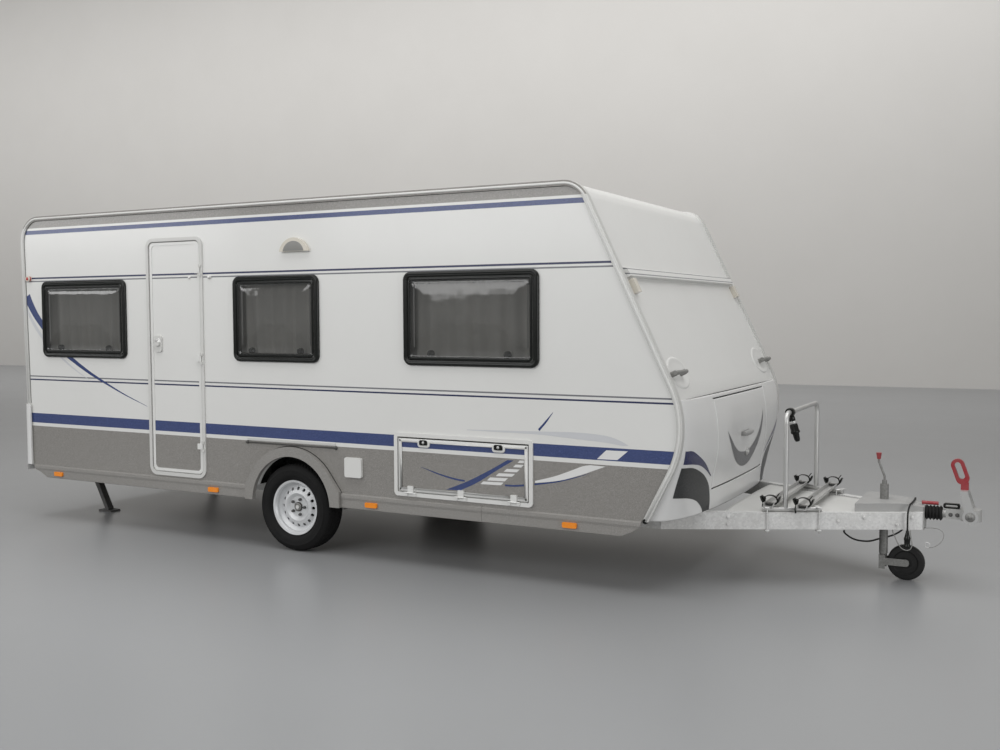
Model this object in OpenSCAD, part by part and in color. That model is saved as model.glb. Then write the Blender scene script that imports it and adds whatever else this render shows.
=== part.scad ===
// Single-axle travel caravan with a bike rack on its drawbar, parked on its jockey wheel and rear steadies.
// Millimetres, +X forward, +Y left, +Z up. Places along X are measured from the wheel axle.

/* [Overall] */
// Axle to the front of the coupling head
nose_reach = 4352; // [4300:1:4500]
// Axle to the rearmost face of the bumper
tail_reach = 2809; // [2800:1:2840]
// Width over the side walls
body_w = 2300; // [2260:1:2400]
// Height of the roof above the ground
roof_z = 2460; // [2420:1:2560]
// Height of the wall foot and the floor's underside
foot_z = 450; // [440:1:460]

/* [Body profile] */
// How far the bumper stands out behind the rear wall
bumper_proud = 34; // [24:1:44]
// Lean of the rear wall from upright, degrees
rear_lean = 1.2; // [0.5:0.1:2]
// Radius of the roof's rear edge
rear_top_r = 190; // [150:1:230]
// Radius of the roof's front edge
front_top_r = 170; // [130:1:210]
// Slope of the upper front from upright, degrees
front_slope = 25.6; // [24:0.1:27]
// Foremost point of the side walls
nose_x = 2839; // [2820:1:2850]
// Height of the foremost point of the side walls
nose_z = 1000; // [980:1:1020]
// Radius of the side walls' nose
nose_r = 580; // [540:1:610]
// Slope of the lower front from upright, degrees
under_slope = 26.6; // [25:0.1:28]

/* [Panels] */
// Thickness of a side wall
wall_t = 32; // [28:1:38]
// Thickness of the roof, front and rear panels
panel_t = 34; // [28:1:38]
// Thickness of the floor
floor_t = 40; // [36:1:48]
// Joint under the front trim strip, below the roof
strip_drop = 514; // [480:1:560]
// How far the front trim strip stands proud
strip_proud = 34; // [20:1:40]
// How far the edge rails stand out from the wall edge
rail_out = 12; // [8:1:14]
// Width of the edge rails' lip on the wall's face
rail_lip = 22; // [16:1:28]

/* [Front locker] */
// Height of the ledge on top of the front locker
locker_top_z = 1165; // [1155:1:1185]
// Bow of the moulded front at the ledge
bow_top = 44; // [36:1:52]
// Bow of the moulded front at its foot
bow_foot = 236; // [210:1:250]
// Roundness of the bow in plan
bow_power = 2.6; // [2.2:0.1:3.2]
// Thickness of the moulded front and its lid
locker_t = 24; // [20:1:28]
// Locker lid's ends, in from the side walls' faces
lid_inset = 554; // [530:1:590]
// Lower edge of the locker lid
lid_z0 = 583; // [575:1:600]
// Upper edge of the locker lid
lid_z1 = 1140; // [1130:1:1142]
// Front face of the bulkhead behind the locker
bulkhead_x = 2380; // [2340:1:2400]

/* [Windows and doors] */
// Height of the main windows' frames
win_h = 610; // [590:1:630]
// Upper edge of the main windows' frames, below the roof
win_drop = 512; // [500:1:530]
// Corner radius of a window frame
win_r = 55; // [48:1:70]
// Width of a window frame
win_frame_w = 36; // [32:1:42]
// How far a window frame stands proud
win_proud = 22; // [16:1:24]
// Rear edge of the door frame
door_x0 = -1375; // [-1390:1:-1360]
// Front edge of the door frame
door_x1 = -806; // [-815:1:-795]
// Lower edge of the door frame
door_z0 = 460; // [460:1:470]
// Upper edge of the door frame, below the roof
door_drop = 212; // [200:1:260]
// Corner radius of the door frame
door_r = 70; // [62:1:90]
// Width of a door or hatch frame
trim_w = 26; // [24:1:28]
// How far a door or hatch frame stands proud
trim_proud = 10; // [8:1:12]
// Thickness of the door and the hatch lids
leaf_t = 26; // [22:1:27]
// Gap round the door and the hatch lids
leaf_gap = 7; // [6:1:9]

/* [Running gear] */
// Radius of a tyre
tyre_r = 310; // [300:1:315]
// Width of a tyre
tyre_w = 195; // [175:1:205]
// Wheel centre plane, in from the side wall's face
wheel_inset = 96; // [90:1:104]
// Radius of a rim's bead seat
rim_r = 178; // [170:1:182]
// Radius of a wheel stub axle
stub_r = 17.5; // [15:0.5:20]
// Radius of a wheel arch opening
arch_r = 345; // [340:1:352]
// Height of a wheel arch's centre
arch_z = 333; // [328:1:340]
// Width of the moulding round a wheel arch
arch_band = 67; // [56:1:72]
// How far a wheel arch moulding stands proud
arch_proud = 32; // [31:1:40]
// Height of the chassis and drawbar members
member_h = 105; // [95:1:110]
// Width of the chassis and drawbar members
member_w = 58; // [50:1:64]
// Chassis member centre, in from the side wall's face
member_inset = 360; // [350:1:380]
// Depth of the side skirts below the wall foot
skirt_h = 100; // [90:1:105]

/* [Drawbar] */
// Height of the coupling ball's centre
ball_z = 437; // [425:1:445]
// Radius of the coupling ball
ball_r = 25; // [24.5:0.1:25.5]
// Coupling head front to the ball's centre
head_r = 60; // [56:1:64]
// Spread of each drawbar member from straight ahead, degrees
drawbar_angle = 26.5; // [26:0.1:27]
// Jockey tube, ahead of the axle
jockey_x = 3790; // [3770:1:3800]
// Outer radius of the jockey tube
jockey_r = 26; // [24:1:28]
// Radius of the jockey wheel
castor_r = 110; // [100:1:112]
// Trail of the jockey wheel
castor_trail = 136; // [134:1:142]
// Width of the jockey wheel
castor_w = 58; // [50:1:62]

/* [Bike rack] */
// Bike rack hoop, ahead of the axle
hoop_x = 3278; // [3270:1:3300]
// Height of the hoop's top tube
hoop_z = 1055; // [1000:1:1080]
// Tube radius of the rack
rack_r = 15; // [13:1:17]
// Wheel rails of the rack, ahead of the axle
rack_rail_x = [3190, 3390];
// Length of a wheel rail
rack_rail_l = 1050; // [1030:1:1100]

/* [Hidden] */
$fn = 64;

white = [0.86, 0.86, 0.85];
grey = [0.53, 0.51, 0.49];
steel = [0.62, 0.63, 0.64];
black = [0.06, 0.06, 0.06];
red = [0.62, 0.12, 0.14];
amber = [0.95, 0.5, 0.05];
dark_glass = [0.12, 0.13, 0.13, 0.7];

axle_x = (tail_reach - nose_reach)/2;
rear_x = bumper_proud - tail_reach;
half_w = body_w/2;
strip_z = roof_z - strip_drop;
lid_half_w = half_w - lid_inset;
win_z1 = roof_z - win_drop;
win_z0 = win_z1 - win_h;
door_z1 = roof_z - door_drop;
wheel_y = half_w - wheel_inset;
member_y = half_w - member_inset;
inner_y = half_w - wall_t;
floor_top = foot_z + floor_t;
// Clearance of a seated piece, of a shaft in its bore, and of a moving lid's pin joint
seat_gap = 0.3;
run_gap = 0.05;
slip_gap = 0.5;

// Tangent arcs of the body's side profile, from the nose over the roof to the rear
nose_c = [nose_x - nose_r, nose_z];
slope_d = nose_c.x*cos(front_slope) + nose_c.y*sin(front_slope) + nose_r;
front_c_z = roof_z - front_top_r;
front_c = [(slope_d - front_top_r - front_c_z*sin(front_slope))/cos(front_slope), front_c_z];
rear_c = [rear_x + rear_top_r, roof_z - rear_top_r];
// The front and rear sheets run round their bends to just below the ceiling, where the roof sheet starts
seam_drop = 20;
roof_seam_z = roof_z - panel_t - seam_drop;
// Columns: centre x, centre z, radius, start angle, end angle
arcs = [[nose_c.x, nose_c.y, nose_r, -under_slope, front_slope],
        [front_c.x, front_c.y, front_top_r, front_slope, 90],
        [rear_c.x, rear_c.y, rear_top_r, 90, 180 + rear_lean]];

function arc_point(a, angle, inset) =
    [a[0] + (a[2] - inset)*cos(angle), a[1] + (a[2] - inset)*sin(angle)];
function arc_corner(a, inset) = let (mid = (a[3] + a[4])/2, reach = (a[2] - inset)/cos((a[4] - a[3])/2))
    [a[0] + reach*cos(mid), a[1] + reach*sin(mid)];
// Where the lower slope, the upper slope and the rear face stand at a height
function under_x(z, inset = 0) =
    nose_c.x + (nose_r - inset + (z - nose_c.y)*sin(under_slope))/cos(under_slope);
function slope_x(z, inset = 0) = (slope_d - inset - z*sin(front_slope))/cos(front_slope);
function rear_face_x(z, inset = 0) =
    rear_c.x - (rear_top_r - inset + (z - rear_c.y)*sin(rear_lean))/cos(rear_lean);
function nose_side_x(z) =
    z > nose_z + nose_r*sin(front_slope) ? slope_x(z)
    : z < nose_z - nose_r*sin(under_slope) ? under_x(z)
    : nose_c.x + sqrt(nose_r*nose_r - (z - nose_z)*(z - nose_z));

// Moulded front of the locker: a bow in plan that deepens as the square of the drop below the ledge
function bow(z) = let (drop = (locker_top_z - z)/(locker_top_z - foot_z))
    bow_top + (bow_foot - bow_top)*drop*drop;
function locker_x(y, z) =
    nose_side_x(z) + bow(z)*pow(1 - pow(min(1, abs(y)/inner_y), bow_power), 1/bow_power);
function steps(a, b, n) = [for (i = [0:n]) a + (b - a)*i/n];
bow_ys = [for (i = [-16:16]) inner_y*sin(90*i/16)];

// Hinges: the pins stand this far out from the wall's face
hinge_out = trim_proud + 6;
knuckle_r = 5.5;
pin_r = 3;
knuckle_l = 42;
knuckle_gap = 1;
fixed_knuckle_l = 20;
hinge_tab = 45;
door_hinge_low = 240;
door_hinge_top = 248;
door_hinge_zs = [door_z0 + door_hinge_low, (door_z0 + door_z1 + door_hinge_low - door_hinge_top)/2,
                 door_z1 - door_hinge_top];

// Columns: side (0 right, 1 left, 2 rear), start, end, lower edge, upper edge
rear_win = [rear_x + 231, door_x0 - 222];
rear_win_y = half_w - 590;
windows = [[0, rear_win[0], rear_win[1], win_z0, win_z1], [0, -512, 255, win_z0, win_z1],
           [0, 950, 1936, win_z0, win_z1], [1, rear_win[0], rear_win[1], win_z0, win_z1],
           [1, -1000, -560, win_z0 + 130, win_z1], [1, 950, 1936, win_z0, win_z1],
           [2, -rear_win_y, rear_win_y, win_z0, win_z1]];
win_lip = 18;
pane_t = 20;
curtain_t = 18;
curtain_lap = 20;

// Columns: side, start, end, lower edge, upper edge
service_hatch = [0, 866, 1892, 472, 892];
cassette_hatch = [1, -1000, -620, 500, 900];
hatches = [service_hatch, cassette_hatch];
hatch_r = 30;
hatch_hinge_ends = 130;
lid_rim = 22;
lid_rim_proud = 4;

// Roof lights, columns: middle along X, length, width
roof_lights = [[1250, 700, 500], [-1350, 400, 400]];
roof_light_r = 40;
roof_light_lap = 45;
roof_light_h = 28;
roof_dome_h = 44;

member_top = foot_z;
member_bot = member_top - member_h;
ball_x = nose_reach - head_r;
bellows_x0 = ball_x - 259;
bellows_x1 = ball_x - 160;
end_plate_t = 4;
drawbar_tip_x = bellows_x0 - end_plate_t;
drawbar_tip_y = 80;
function member_at(x) = drawbar_tip_y + (drawbar_tip_x - x)*tan(drawbar_angle);
drawbar_rear_x = drawbar_tip_x - (member_y - drawbar_tip_y)/tan(drawbar_angle);
member_wall = 6;

// Wheels and torsion axle
axle_z = tyre_r;
arm_l = 150;
beam_r = 52;
beam_z = member_bot - beam_r*cos(30) - seat_gap;
arm_t = 22;
arm_y = member_y + member_w/2 + 12;
hub_y = wheel_y + 26;
drum_r = 112;
drum_w = 62;
backplate_t = 6;
backplate_y = hub_y - 6 - drum_w - 3 - backplate_t;
box_t = 6;
box_r = arch_r + 20;
box_y = wheel_y - tyre_w/2 - 26;

// Coupling and jockey
tow_tube_r = 25;
cover_x0 = 3655;
cover_x1 = drawbar_tip_x;
cover_z0 = member_top;
cover_z1 = 500;
castor_x = jockey_x + castor_trail;
castor_pin_r = 8;
inner_tube_r = jockey_r - 4;
jockey_tube_z0 = 155;
jockey_tube_z1 = 595;
crank_top_z = 750;

rack_tube_z = member_top + rack_r;
rack_rail_z = rack_tube_z + rack_r;
rack_rail_h = 26;
hoop_y = member_at(hoop_x);
hoop_bend = 60;

// Routes of the cords, by hand: x from the axle, y, z
supply_d = 11;
supply_route = [[3600, -285, 335], [3600, -285, 321], [3616, -273, 302], [3640, -250, 281], [3668, -212, 264],
                [3694, -164, 252], [3716, -110, 243], [3734, -52, 238], [3750, 6, 236], [3772, 58, 236],
                [3802, 106, 239], [3834, 146, 248], [3866, 180, 266], [3894, 203, 300], [3914, 211, 348],
                [3931, 207, 402], [3946, 189, 453], [3955, 160, 480], [3960, 125, 498], [3962, 80, 499],
                [3963, 28, 499], [3963, -28, 499], [3962, -80, 499], [3960, -125, 498], [3956, -160, 480],
                [3953, -177, 453], [3952, -180, 418], [3952, -180, 382], [3952, -180, 345]];
supply_plug_z = 345;
supply_plug_l = 105;
breakaway_d = 4;
breakaway_route = [[4033.5, -50, 347], [4050, -50, 347], [4078, -51, 349], [4112, -56, 347], [4138, -68, 336],
                   [4148, -82, 316], [4144, -95, 292], [4130, -105, 270], [4108, -112, 252], [4085, -116, 242],
                   [4068, -117, 240]];

module at_axle() translate([axle_x, 0, 0]) children();
module pair() {
    children();
    mirror([0, 1, 0]) children();
}
// A flat outline in X and Z, given thickness t from y upwards
module upright(y, t) translate([0, y + t, 0]) rotate([90, 0, 0]) linear_extrude(t) children();
module rounded(x0, x1, z0, z1, r) {
    translate([x0 + r, z0]) square([x1 - x0 - 2*r, z1 - z0]);
    translate([x0, z0 + r]) square([x1 - x0, z1 - z0 - 2*r]);
    for (x = [x0 + r, x1 - r], z = [z0 + r, z1 - r]) translate([x, z]) circle(r);
}
// A rounded rectangle from one row of a table, drawn in on every side
module row_outline(row, r, inset = 0) {
    rounded(row[1] + inset, row[2] - inset, row[3] + inset, row[4] - inset, max(4, r - inset));
}
// Local wall frame: y = 0 is the wall's outer face and -y points out
module on_side(side) {
    rear_mid_z = (win_z0 + win_z1)/2;
    if (side == 0) translate([0, -half_w, 0]) children();
    if (side == 1) mirror([0, 1, 0]) translate([0, -half_w, 0]) children();
    if (side == 2)
        translate([rear_face_x(rear_mid_z), 0, rear_mid_z]) rotate([0, -rear_lean, 0])
            rotate([0, 0, -90]) translate([0, 0, -rear_mid_z]) children();
}
module rod(a, b, r) {
    d = b - a;
    l = norm(d);
    translate(a) rotate([0, acos(d.z/l), atan2(d.y, d.x)]) cylinder(r = r, h = l);
}

// Body profile in X and Z, with every face but the foot drawn in
module profile(inset = 0, foot = foot_z) {
    polygon(concat([[rear_face_x(foot, inset), foot], [under_x(foot, inset), foot]],
                   [for (a = arcs, angle = [a[3], a[4]]) arc_point(a, angle, inset)]));
    for (a = arcs) intersection() {
        translate([a[0], a[1]]) circle(a[2] - inset, $fn = 128);
        polygon([[a[0], a[1]], arc_point(a, a[3], inset), arc_corner(a, inset), arc_point(a, a[4], inset)]);
    }
}
module skin() {
    difference() {
        profile();
        profile(panel_t, foot_z - 1);
    }
}
module between_walls(x0, x1, z0, z1) {
    upright(-inner_y, 2*inner_y) intersection() {
        skin();
        translate([x0, z0]) square([x1 - x0, z1 - z0]);
    }
}
module wall_cuts(side) {
    for (w = windows) if (w[0] == side) row_outline(w, win_r, win_lip);
    for (h = hatches) if (h[0] == side) row_outline(h, hatch_r, trim_w);
    if (side == 0) rounded(door_x0 + trim_w, door_x1 - trim_w, door_z0 + trim_w, door_z1 - trim_w, door_r - trim_w);
    translate([0, arch_z]) circle(arch_r, $fn = 128);
}
module side_wall(side) {
    on_side(side) upright(0, wall_t) difference() {
        profile();
        wall_cuts(side);
    }
}

module side_wall_right() color(white) at_axle() side_wall(0);
module side_wall_left() color(white) at_axle() side_wall(1);

// Floor with the locker's bulkhead and shelf
module locker_plan(x0, z, set_back) {
    polygon(concat([[x0, inner_y], [x0, -inner_y]],
                   [for (y = bow_ys) [locker_x(y, z) - set_back, y]]));
}
module floor_panel() {
    shelf_t = 16;
    color([0.5, 0.45, 0.38]) at_axle() {
        difference() {
            union() {
                translate([rear_face_x(foot_z, panel_t + seat_gap), -inner_y, foot_z])
                    cube([bulkhead_x - rear_face_x(foot_z, panel_t + seat_gap), 2*inner_y, floor_t]);
                translate([0, 0, foot_z]) linear_extrude(floor_t)
                    locker_plan(bulkhead_x - 1, foot_z, locker_t + 2);
                translate([bulkhead_x - wall_t, -inner_y, foot_z])
                    cube([wall_t, 2*inner_y, locker_top_z - foot_z]);
                translate([0, 0, locker_top_z - shelf_t]) linear_extrude(shelf_t)
                    locker_plan(bulkhead_x - 1, locker_top_z, locker_t + seat_gap);
            }
            pair() upright(-inner_y - 1, inner_y - box_y + box_t + 1 + slip_gap)
                translate([0, arch_z]) circle(box_r + slip_gap, $fn = 128);
        }
    }
}
module roof_panel() {
    color(white) at_axle() difference() {
        between_walls(rear_x - 10, nose_x, roof_seam_z, roof_z);
        for (r = roof_lights) translate([r[0], 0, roof_z - panel_t - 1]) linear_extrude(panel_t + 2)
            rounded(-r[1]/2 + roof_light_lap, r[1]/2 - roof_light_lap,
                    -r[2]/2 + roof_light_lap, r[2]/2 - roof_light_lap, 10);
    }
}
module front_panel() {
    strip_h = 64;
    color(white) at_axle() {
        between_walls(0, nose_x, locker_top_z, roof_seam_z);
        // The strip is a rounded ridge across the panel
        upright(-inner_y + 30, 2*inner_y - 60)
            polygon([[slope_x(strip_z), strip_z], [slope_x(strip_z) + strip_proud, strip_z - 8],
                     [slope_x(strip_z - strip_h) + strip_proud*0.8, strip_z - strip_h + 14],
                     [slope_x(strip_z - strip_h), strip_z - strip_h]]);
    }
}
module rear_wall() {
    color(white) at_axle() difference() {
        between_walls(rear_x - 10, 0, foot_z, roof_seam_z);
        for (w = windows) if (w[0] == 2) on_side(2) upright(-30, panel_t + 60) row_outline(w, win_r, win_lip);
    }
}

// Two layers of a grid joined into one closed moulding
function grid_faces(ny, nz) = let (layer = ny*nz, top = nz - 1, last = ny - 1) concat(
    [for (i = [0:nz - 2], j = [0:ny - 2]) each
        [[i*ny + j, (i + 1)*ny + j, (i + 1)*ny + j + 1], [i*ny + j, (i + 1)*ny + j + 1, i*ny + j + 1],
         [layer + i*ny + j, layer + (i + 1)*ny + j + 1, layer + (i + 1)*ny + j],
         [layer + i*ny + j, layer + i*ny + j + 1, layer + (i + 1)*ny + j + 1]]],
    [for (j = [0:ny - 2]) each
        [[j, j + 1, layer + j + 1, layer + j],
         [top*ny + j + 1, top*ny + j, layer + top*ny + j, layer + top*ny + j + 1]]],
    [for (i = [0:nz - 2]) each
        [[layer + i*ny, layer + (i + 1)*ny, (i + 1)*ny, i*ny],
         [i*ny + last, (i + 1)*ny + last, layer + (i + 1)*ny + last, layer + i*ny + last]]]);
module front_moulding(ys, zs, front = 0, back = locker_t) {
    polyhedron([for (d = [front, back], z = zs, y = ys) [locker_x(y, z) - d, y, z]],
               grid_faces(len(ys), len(zs)));
}
lid_gap = 6;
lid_hinge_z = lid_z1 + lid_gap;
lid_hinge_x = locker_x(0, lid_hinge_z) - 2;
lid_hinge_ys = [-420, 0, 420];
module lid_opening() {
    translate([bulkhead_x, -lid_half_w - lid_gap, lid_z0 - lid_gap])
        cube([1000, 2*(lid_half_w + lid_gap), lid_hinge_z - lid_z0 + lid_gap]);
}
// Local hinge frame: pin along Z, the frame on +X, the leaf on -X, -Y outwards
module hinge_fixed(base) {
    for (s = [-1, 1]) translate([0, 0, s*(knuckle_l/2 + knuckle_gap + fixed_knuckle_l/2)]) {
        cylinder(r = knuckle_r, h = fixed_knuckle_l, center = true);
        translate([0, -2, -fixed_knuckle_l/2]) cube([18, base + 2, fixed_knuckle_l]);
    }
    cylinder(r = pin_r, h = knuckle_l + 2*fixed_knuckle_l, center = true);
}
module hinge_moving(base, edge, tab = hinge_tab) {
    difference() {
        union() {
            cylinder(r = knuckle_r, h = knuckle_l, center = true);
            translate([-tab, -2, -knuckle_l/2]) cube([tab, 6.5, knuckle_l]);
            translate([-tab, -2, -knuckle_l/2]) cube([tab - edge, base + 2, knuckle_l]);
        }
        cylinder(r = pin_r + run_gap, h = knuckle_l + 2, center = true);
    }
}
module on_lid_hinges() for (y = lid_hinge_ys) translate([lid_hinge_x, y, lid_hinge_z])
    rotate([0, 0, 90]) rotate([0, -90, 0]) children();
module front_locker() {
    color(white) at_axle() {
        difference() {
            front_moulding(bow_ys, steps(foot_z, locker_top_z, 12));
            lid_opening();
            on_lid_hinges() cylinder(r = knuckle_r + 1.5, h = knuckle_l + 2*knuckle_gap, center = true);
        }
        on_lid_hinges() hinge_fixed(8);
    }
}
module locker_lid() {
    color(white) at_axle() {
        front_moulding(steps(-lid_half_w, lid_half_w, 12), steps(lid_z0, lid_z1, 8));
        on_lid_hinges() hinge_moving(12, lid_gap);
    }
}
handle_z = 876;
module lid_handle() {
    grip_w = 190;
    color(steel) at_axle() translate([locker_x(0, handle_z), 0, handle_z]) {
        for (s = [-1, 1]) translate([seat_gap, s*(grip_w/2 - 18) - 11, -14]) cube([24, 22, 28]);
        translate([22, -grip_w/2, 0]) rotate([-90, 0, 0]) cylinder(r = 13, h = grip_w);
    }
}

module edge_rails() {
    cover_rail_z = 782;
    color(steel) at_axle() {
        pair() {
            upright(-half_w - 10, 10) difference() {
                profile(-rail_out);
                profile(rail_lip, foot_z - 1);
            }
            upright(-half_w, wall_t) difference() {
                profile(-rail_out);
                profile(0, foot_z - 1);
            }
            translate([-400, -half_w - 8, cover_rail_z - 8]) cube([780, 8, 16]);
        }
    }
}
// A bowed grab handle on two feet: local wall frame with the grip along X
module grab_handle(l) {
    stand_off = 36;
    for (s = [-1, 1]) translate([s*(l/2 - 20), -seat_gap, 0]) rotate([90, 0, 0]) cylinder(r = 17, h = stand_off);
    translate([-l/2, -stand_off, 0]) rotate([0, 90, 0]) cylinder(r = 13, h = l);
}
module grab_handles() {
    front_z = 1311;
    rear_z = 1130;
    grab_y = half_w - 150;
    color(steel) at_axle() pair() {
        translate([slope_x(front_z), -grab_y, front_z]) rotate([0, -front_slope, 0]) rotate([0, 0, 90])
            grab_handle(210);
        translate([rear_face_x(rear_z), -grab_y, rear_z]) rotate([0, -rear_lean, 0]) rotate([0, 0, -90])
            grab_handle(210);
    }
}
module marker_lamps() {
    front_z = strip_z - 120;
    lamp_y = half_w - 90;
    rear_x_mid = rear_x + 78;
    rear_z = roof_z - 488;
    color([0.9, 0.88, 0.85]) at_axle() pair() {
        translate([slope_x(front_z), -lamp_y, front_z]) rotate([0, 90 - front_slope, 0])
            translate([-45, -26, seat_gap]) cube([90, 52, 34]);
        translate([rear_x_mid, -half_w, rear_z]) rotate([90, 0, 0]) cylinder(r = 22, h = 28);
    }
}
module side_markers() {
    marker_z = 388;
    color(amber) at_axle() pair() for (x = [rear_x + 376, -731, 680, 2144])
        upright(-half_w - 22, 13) rounded(x - 48, x + 48, marker_z - 17, marker_z + 17, 9);
}
bumper_z0 = 401;
bumper_z1 = 944;
bumper_wrap_x = rear_x + 63;
bumper_side = 22;
module rear_bumper() {
    nose_round = 70;
    color(white) at_axle() difference() {
        translate([0, 0, bumper_z0]) linear_extrude(bumper_z1 - bumper_z0)
            rounded(-tail_reach, bumper_wrap_x + 2*nose_round, -half_w - bumper_side, half_w + bumper_side, nose_round);
        translate([bumper_wrap_x, -body_w, 0]) cube([1000, 2*body_w, roof_z]);
        upright(-half_w - 10 - seat_gap, 2*(half_w + 10 + seat_gap)) profile(-rail_out - seat_gap, foot_z);
        translate([rear_x, -half_w - 100, bumper_z0 - 1]) cube([200, body_w + 200, foot_z - bumper_z0 + 1]);
        // Recess for the number plate
        translate([-tail_reach - 1, -280, 560]) cube([13, 560, 140]);
        on_rear_lamps() translate([0, 0, -rear_lamp_t - seat_gap]) cylinder(r = rear_lamp_r + seat_gap, h = 100);
    }
}
rear_lamp_r = 52;
rear_lamp_t = 14;
high_lamp_z = roof_z - 280;
module on_rear_lamps() pair() for (z = [600, 720, 840])
    translate([-tail_reach, 160 - half_w, z]) rotate([0, -90, 0]) children();
module rear_lamps() {
    color(red) at_axle() {
        on_rear_lamps() translate([0, 0, -rear_lamp_t]) cylinder(r = rear_lamp_r, h = rear_lamp_t);
        on_side(2) upright(-14, 14) rounded(-150, 150, high_lamp_z - 15, high_lamp_z + 15, 10);
    }
}

// Window frame, pane and curtain of one row, in the local wall frame
module window_frames() {
    color(black) at_axle() for (w = windows) on_side(w[0]) {
        depth = w[0] == 2 ? panel_t : wall_t;
        upright(-win_proud, win_proud) difference() {
            row_outline(w, win_r);
            row_outline(w, win_r, win_frame_w);
        }
        upright(0, depth) difference() {
            row_outline(w, win_r, win_lip + seat_gap);
            row_outline(w, win_r, win_frame_w);
        }
    }
}
module window_panes() {
    color(dark_glass) at_axle() for (w = windows) on_side(w[0])
        upright(-win_proud + 2, pane_t) row_outline(w, win_r, win_frame_w + seat_gap);
}
module curtains() {
    color([0.78, 0.76, 0.72]) at_axle() for (w = windows) on_side(w[0]) {
        depth = w[0] == 2 ? panel_t : wall_t;
        upright(depth + seat_gap, curtain_t)
            rounded(w[1] - curtain_lap, w[2] + curtain_lap, w[3] - curtain_lap, w[4] + curtain_lap, 8);
    }
}

door_hinge_x = door_x1 - trim_w + 1;
module door_frame() {
    color(white) at_axle() on_side(0) {
        upright(-trim_proud, trim_proud) difference() {
            rounded(door_x0, door_x1, door_z0, door_z1, door_r);
            rounded(door_x0 + trim_w, door_x1 - trim_w, door_z0 + trim_w, door_z1 - trim_w, door_r - trim_w);
        }
        for (z = door_hinge_zs) translate([door_hinge_x, -hinge_out, z]) hinge_fixed(hinge_out - trim_proud);
    }
}
module entrance_door() {
    edge = trim_w + leaf_gap;
    lock_edge = edge + 2;
    leaf_r = door_r - edge;
    color(white) at_axle() on_side(0) {
        upright(0, leaf_t)
            rounded(door_x0 + lock_edge, door_x1 - edge, door_z0 + edge, door_z1 - edge, leaf_r);
        upright(-lid_rim_proud, lid_rim_proud) difference() {
            rounded(door_x0 + lock_edge, door_x1 - edge, door_z0 + edge, door_z1 - edge, leaf_r);
            rounded(door_x0 + lock_edge + lid_rim, door_x1 - edge - lid_rim,
                    door_z0 + edge + lid_rim, door_z1 - edge - lid_rim, leaf_r - lid_rim + 14);
        }
        for (z = door_hinge_zs) translate([door_hinge_x, -hinge_out, z]) hinge_moving(hinge_out, leaf_gap + 1);
    }
}
module door_handle() {
    lock_x = -1264;
    lock_z = 1456;
    color(steel) at_axle() on_side(0) {
        upright(-12, 12) rounded(lock_x - 38, lock_x + 38, lock_z - 62, lock_z + 62, 20);
        upright(-28, 16) rounded(lock_x - 26, lock_x + 24, lock_z - 14, lock_z + 14, 10);
    }
}

// Bottom-hinged hatches: frame, lid and hinge places along one table row
function hatch_hinge_xs(h) = steps(h[1] + hatch_hinge_ends, h[2] - hatch_hinge_ends, h[2] - h[1] > 600 ? 2 : 1);
module on_hatch_hinges(h) for (x = hatch_hinge_xs(h))
    translate([x, -hinge_out, h[3] + trim_w - 1]) rotate([0, 90, 0]) children();
module hatch_frames() {
    color(white) at_axle() for (h = hatches) on_side(h[0]) {
        upright(-trim_proud, trim_proud) difference() {
            row_outline(h, hatch_r);
            row_outline(h, hatch_r, trim_w);
        }
        on_hatch_hinges(h) hinge_fixed(hinge_out - trim_proud);
    }
}
module hatch_leaf(h, inset) {
    rounded(h[1] + inset, h[2] - inset, h[3] + inset, h[4] - inset - 3, 6);
}
module hatch_lid(h) {
    edge = trim_w + leaf_gap;
    on_side(h[0]) {
        upright(0, leaf_t) hatch_leaf(h, edge);
        upright(-lid_rim_proud, lid_rim_proud) difference() {
            hatch_leaf(h, edge);
            hatch_leaf(h, edge + lid_rim);
        }
        on_hatch_hinges(h) hinge_moving(hinge_out, leaf_gap + 1);
    }
}
service_lock_xs = [1096, 1651];
service_lock_z = service_hatch[4] - 58;
module lock_outlines(grow) for (x = service_lock_xs)
    rounded(x - 30 - grow, x + 30 + grow, service_lock_z - 17 - grow, service_lock_z + 17 + grow, 12);
module service_lid() {
    color(white) at_axle() difference() {
        hatch_lid(service_hatch);
        on_side(0) upright(-30, 30) lock_outlines(seat_gap);
    }
}
module cassette_lid() color(white) at_axle() hatch_lid(cassette_hatch);
module service_locks() color(black) at_axle() on_side(0) upright(-14, 14) lock_outlines(0);

// Skirt section, Y and Z from the wall's foot on the right-hand side
module skirt_section() polygon([[0, 0], [-12, -8], [-13, -28], [-9, -44], [-9, -skirt_h + 3], [-5, -skirt_h],
                                [10, -skirt_h + 2], [10, -skirt_h + 10], [2, -skirt_h + 8], [2, -12], [20, -6], [20, 0]]);
arch_foot_x = [-412, 424];
module side_skirts() {
    // Columns: rear end, front end
    runs = [[rear_x + 75, arch_foot_x[0] - 2], [arch_foot_x[1] + 2, 1528], [1530, 2600]];
    color(grey) at_axle() pair() for (r = runs) intersection() {
        translate([r[0], -half_w, foot_z]) rotate([90, 0, 90]) linear_extrude(r[1] - r[0]) skirt_section();
        upright(-half_w - 100, 200)
            polygon([[rear_x + 75, foot_z + 1], [rear_x + 95, foot_z - 40], [rear_x + 156, foot_z - 60],
                     [rear_x + 235, foot_z - skirt_h],
                     [2470, foot_z - skirt_h], [2560, foot_z - 58], [under_x(foot_z), foot_z + 1]]);
    }
}
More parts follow.
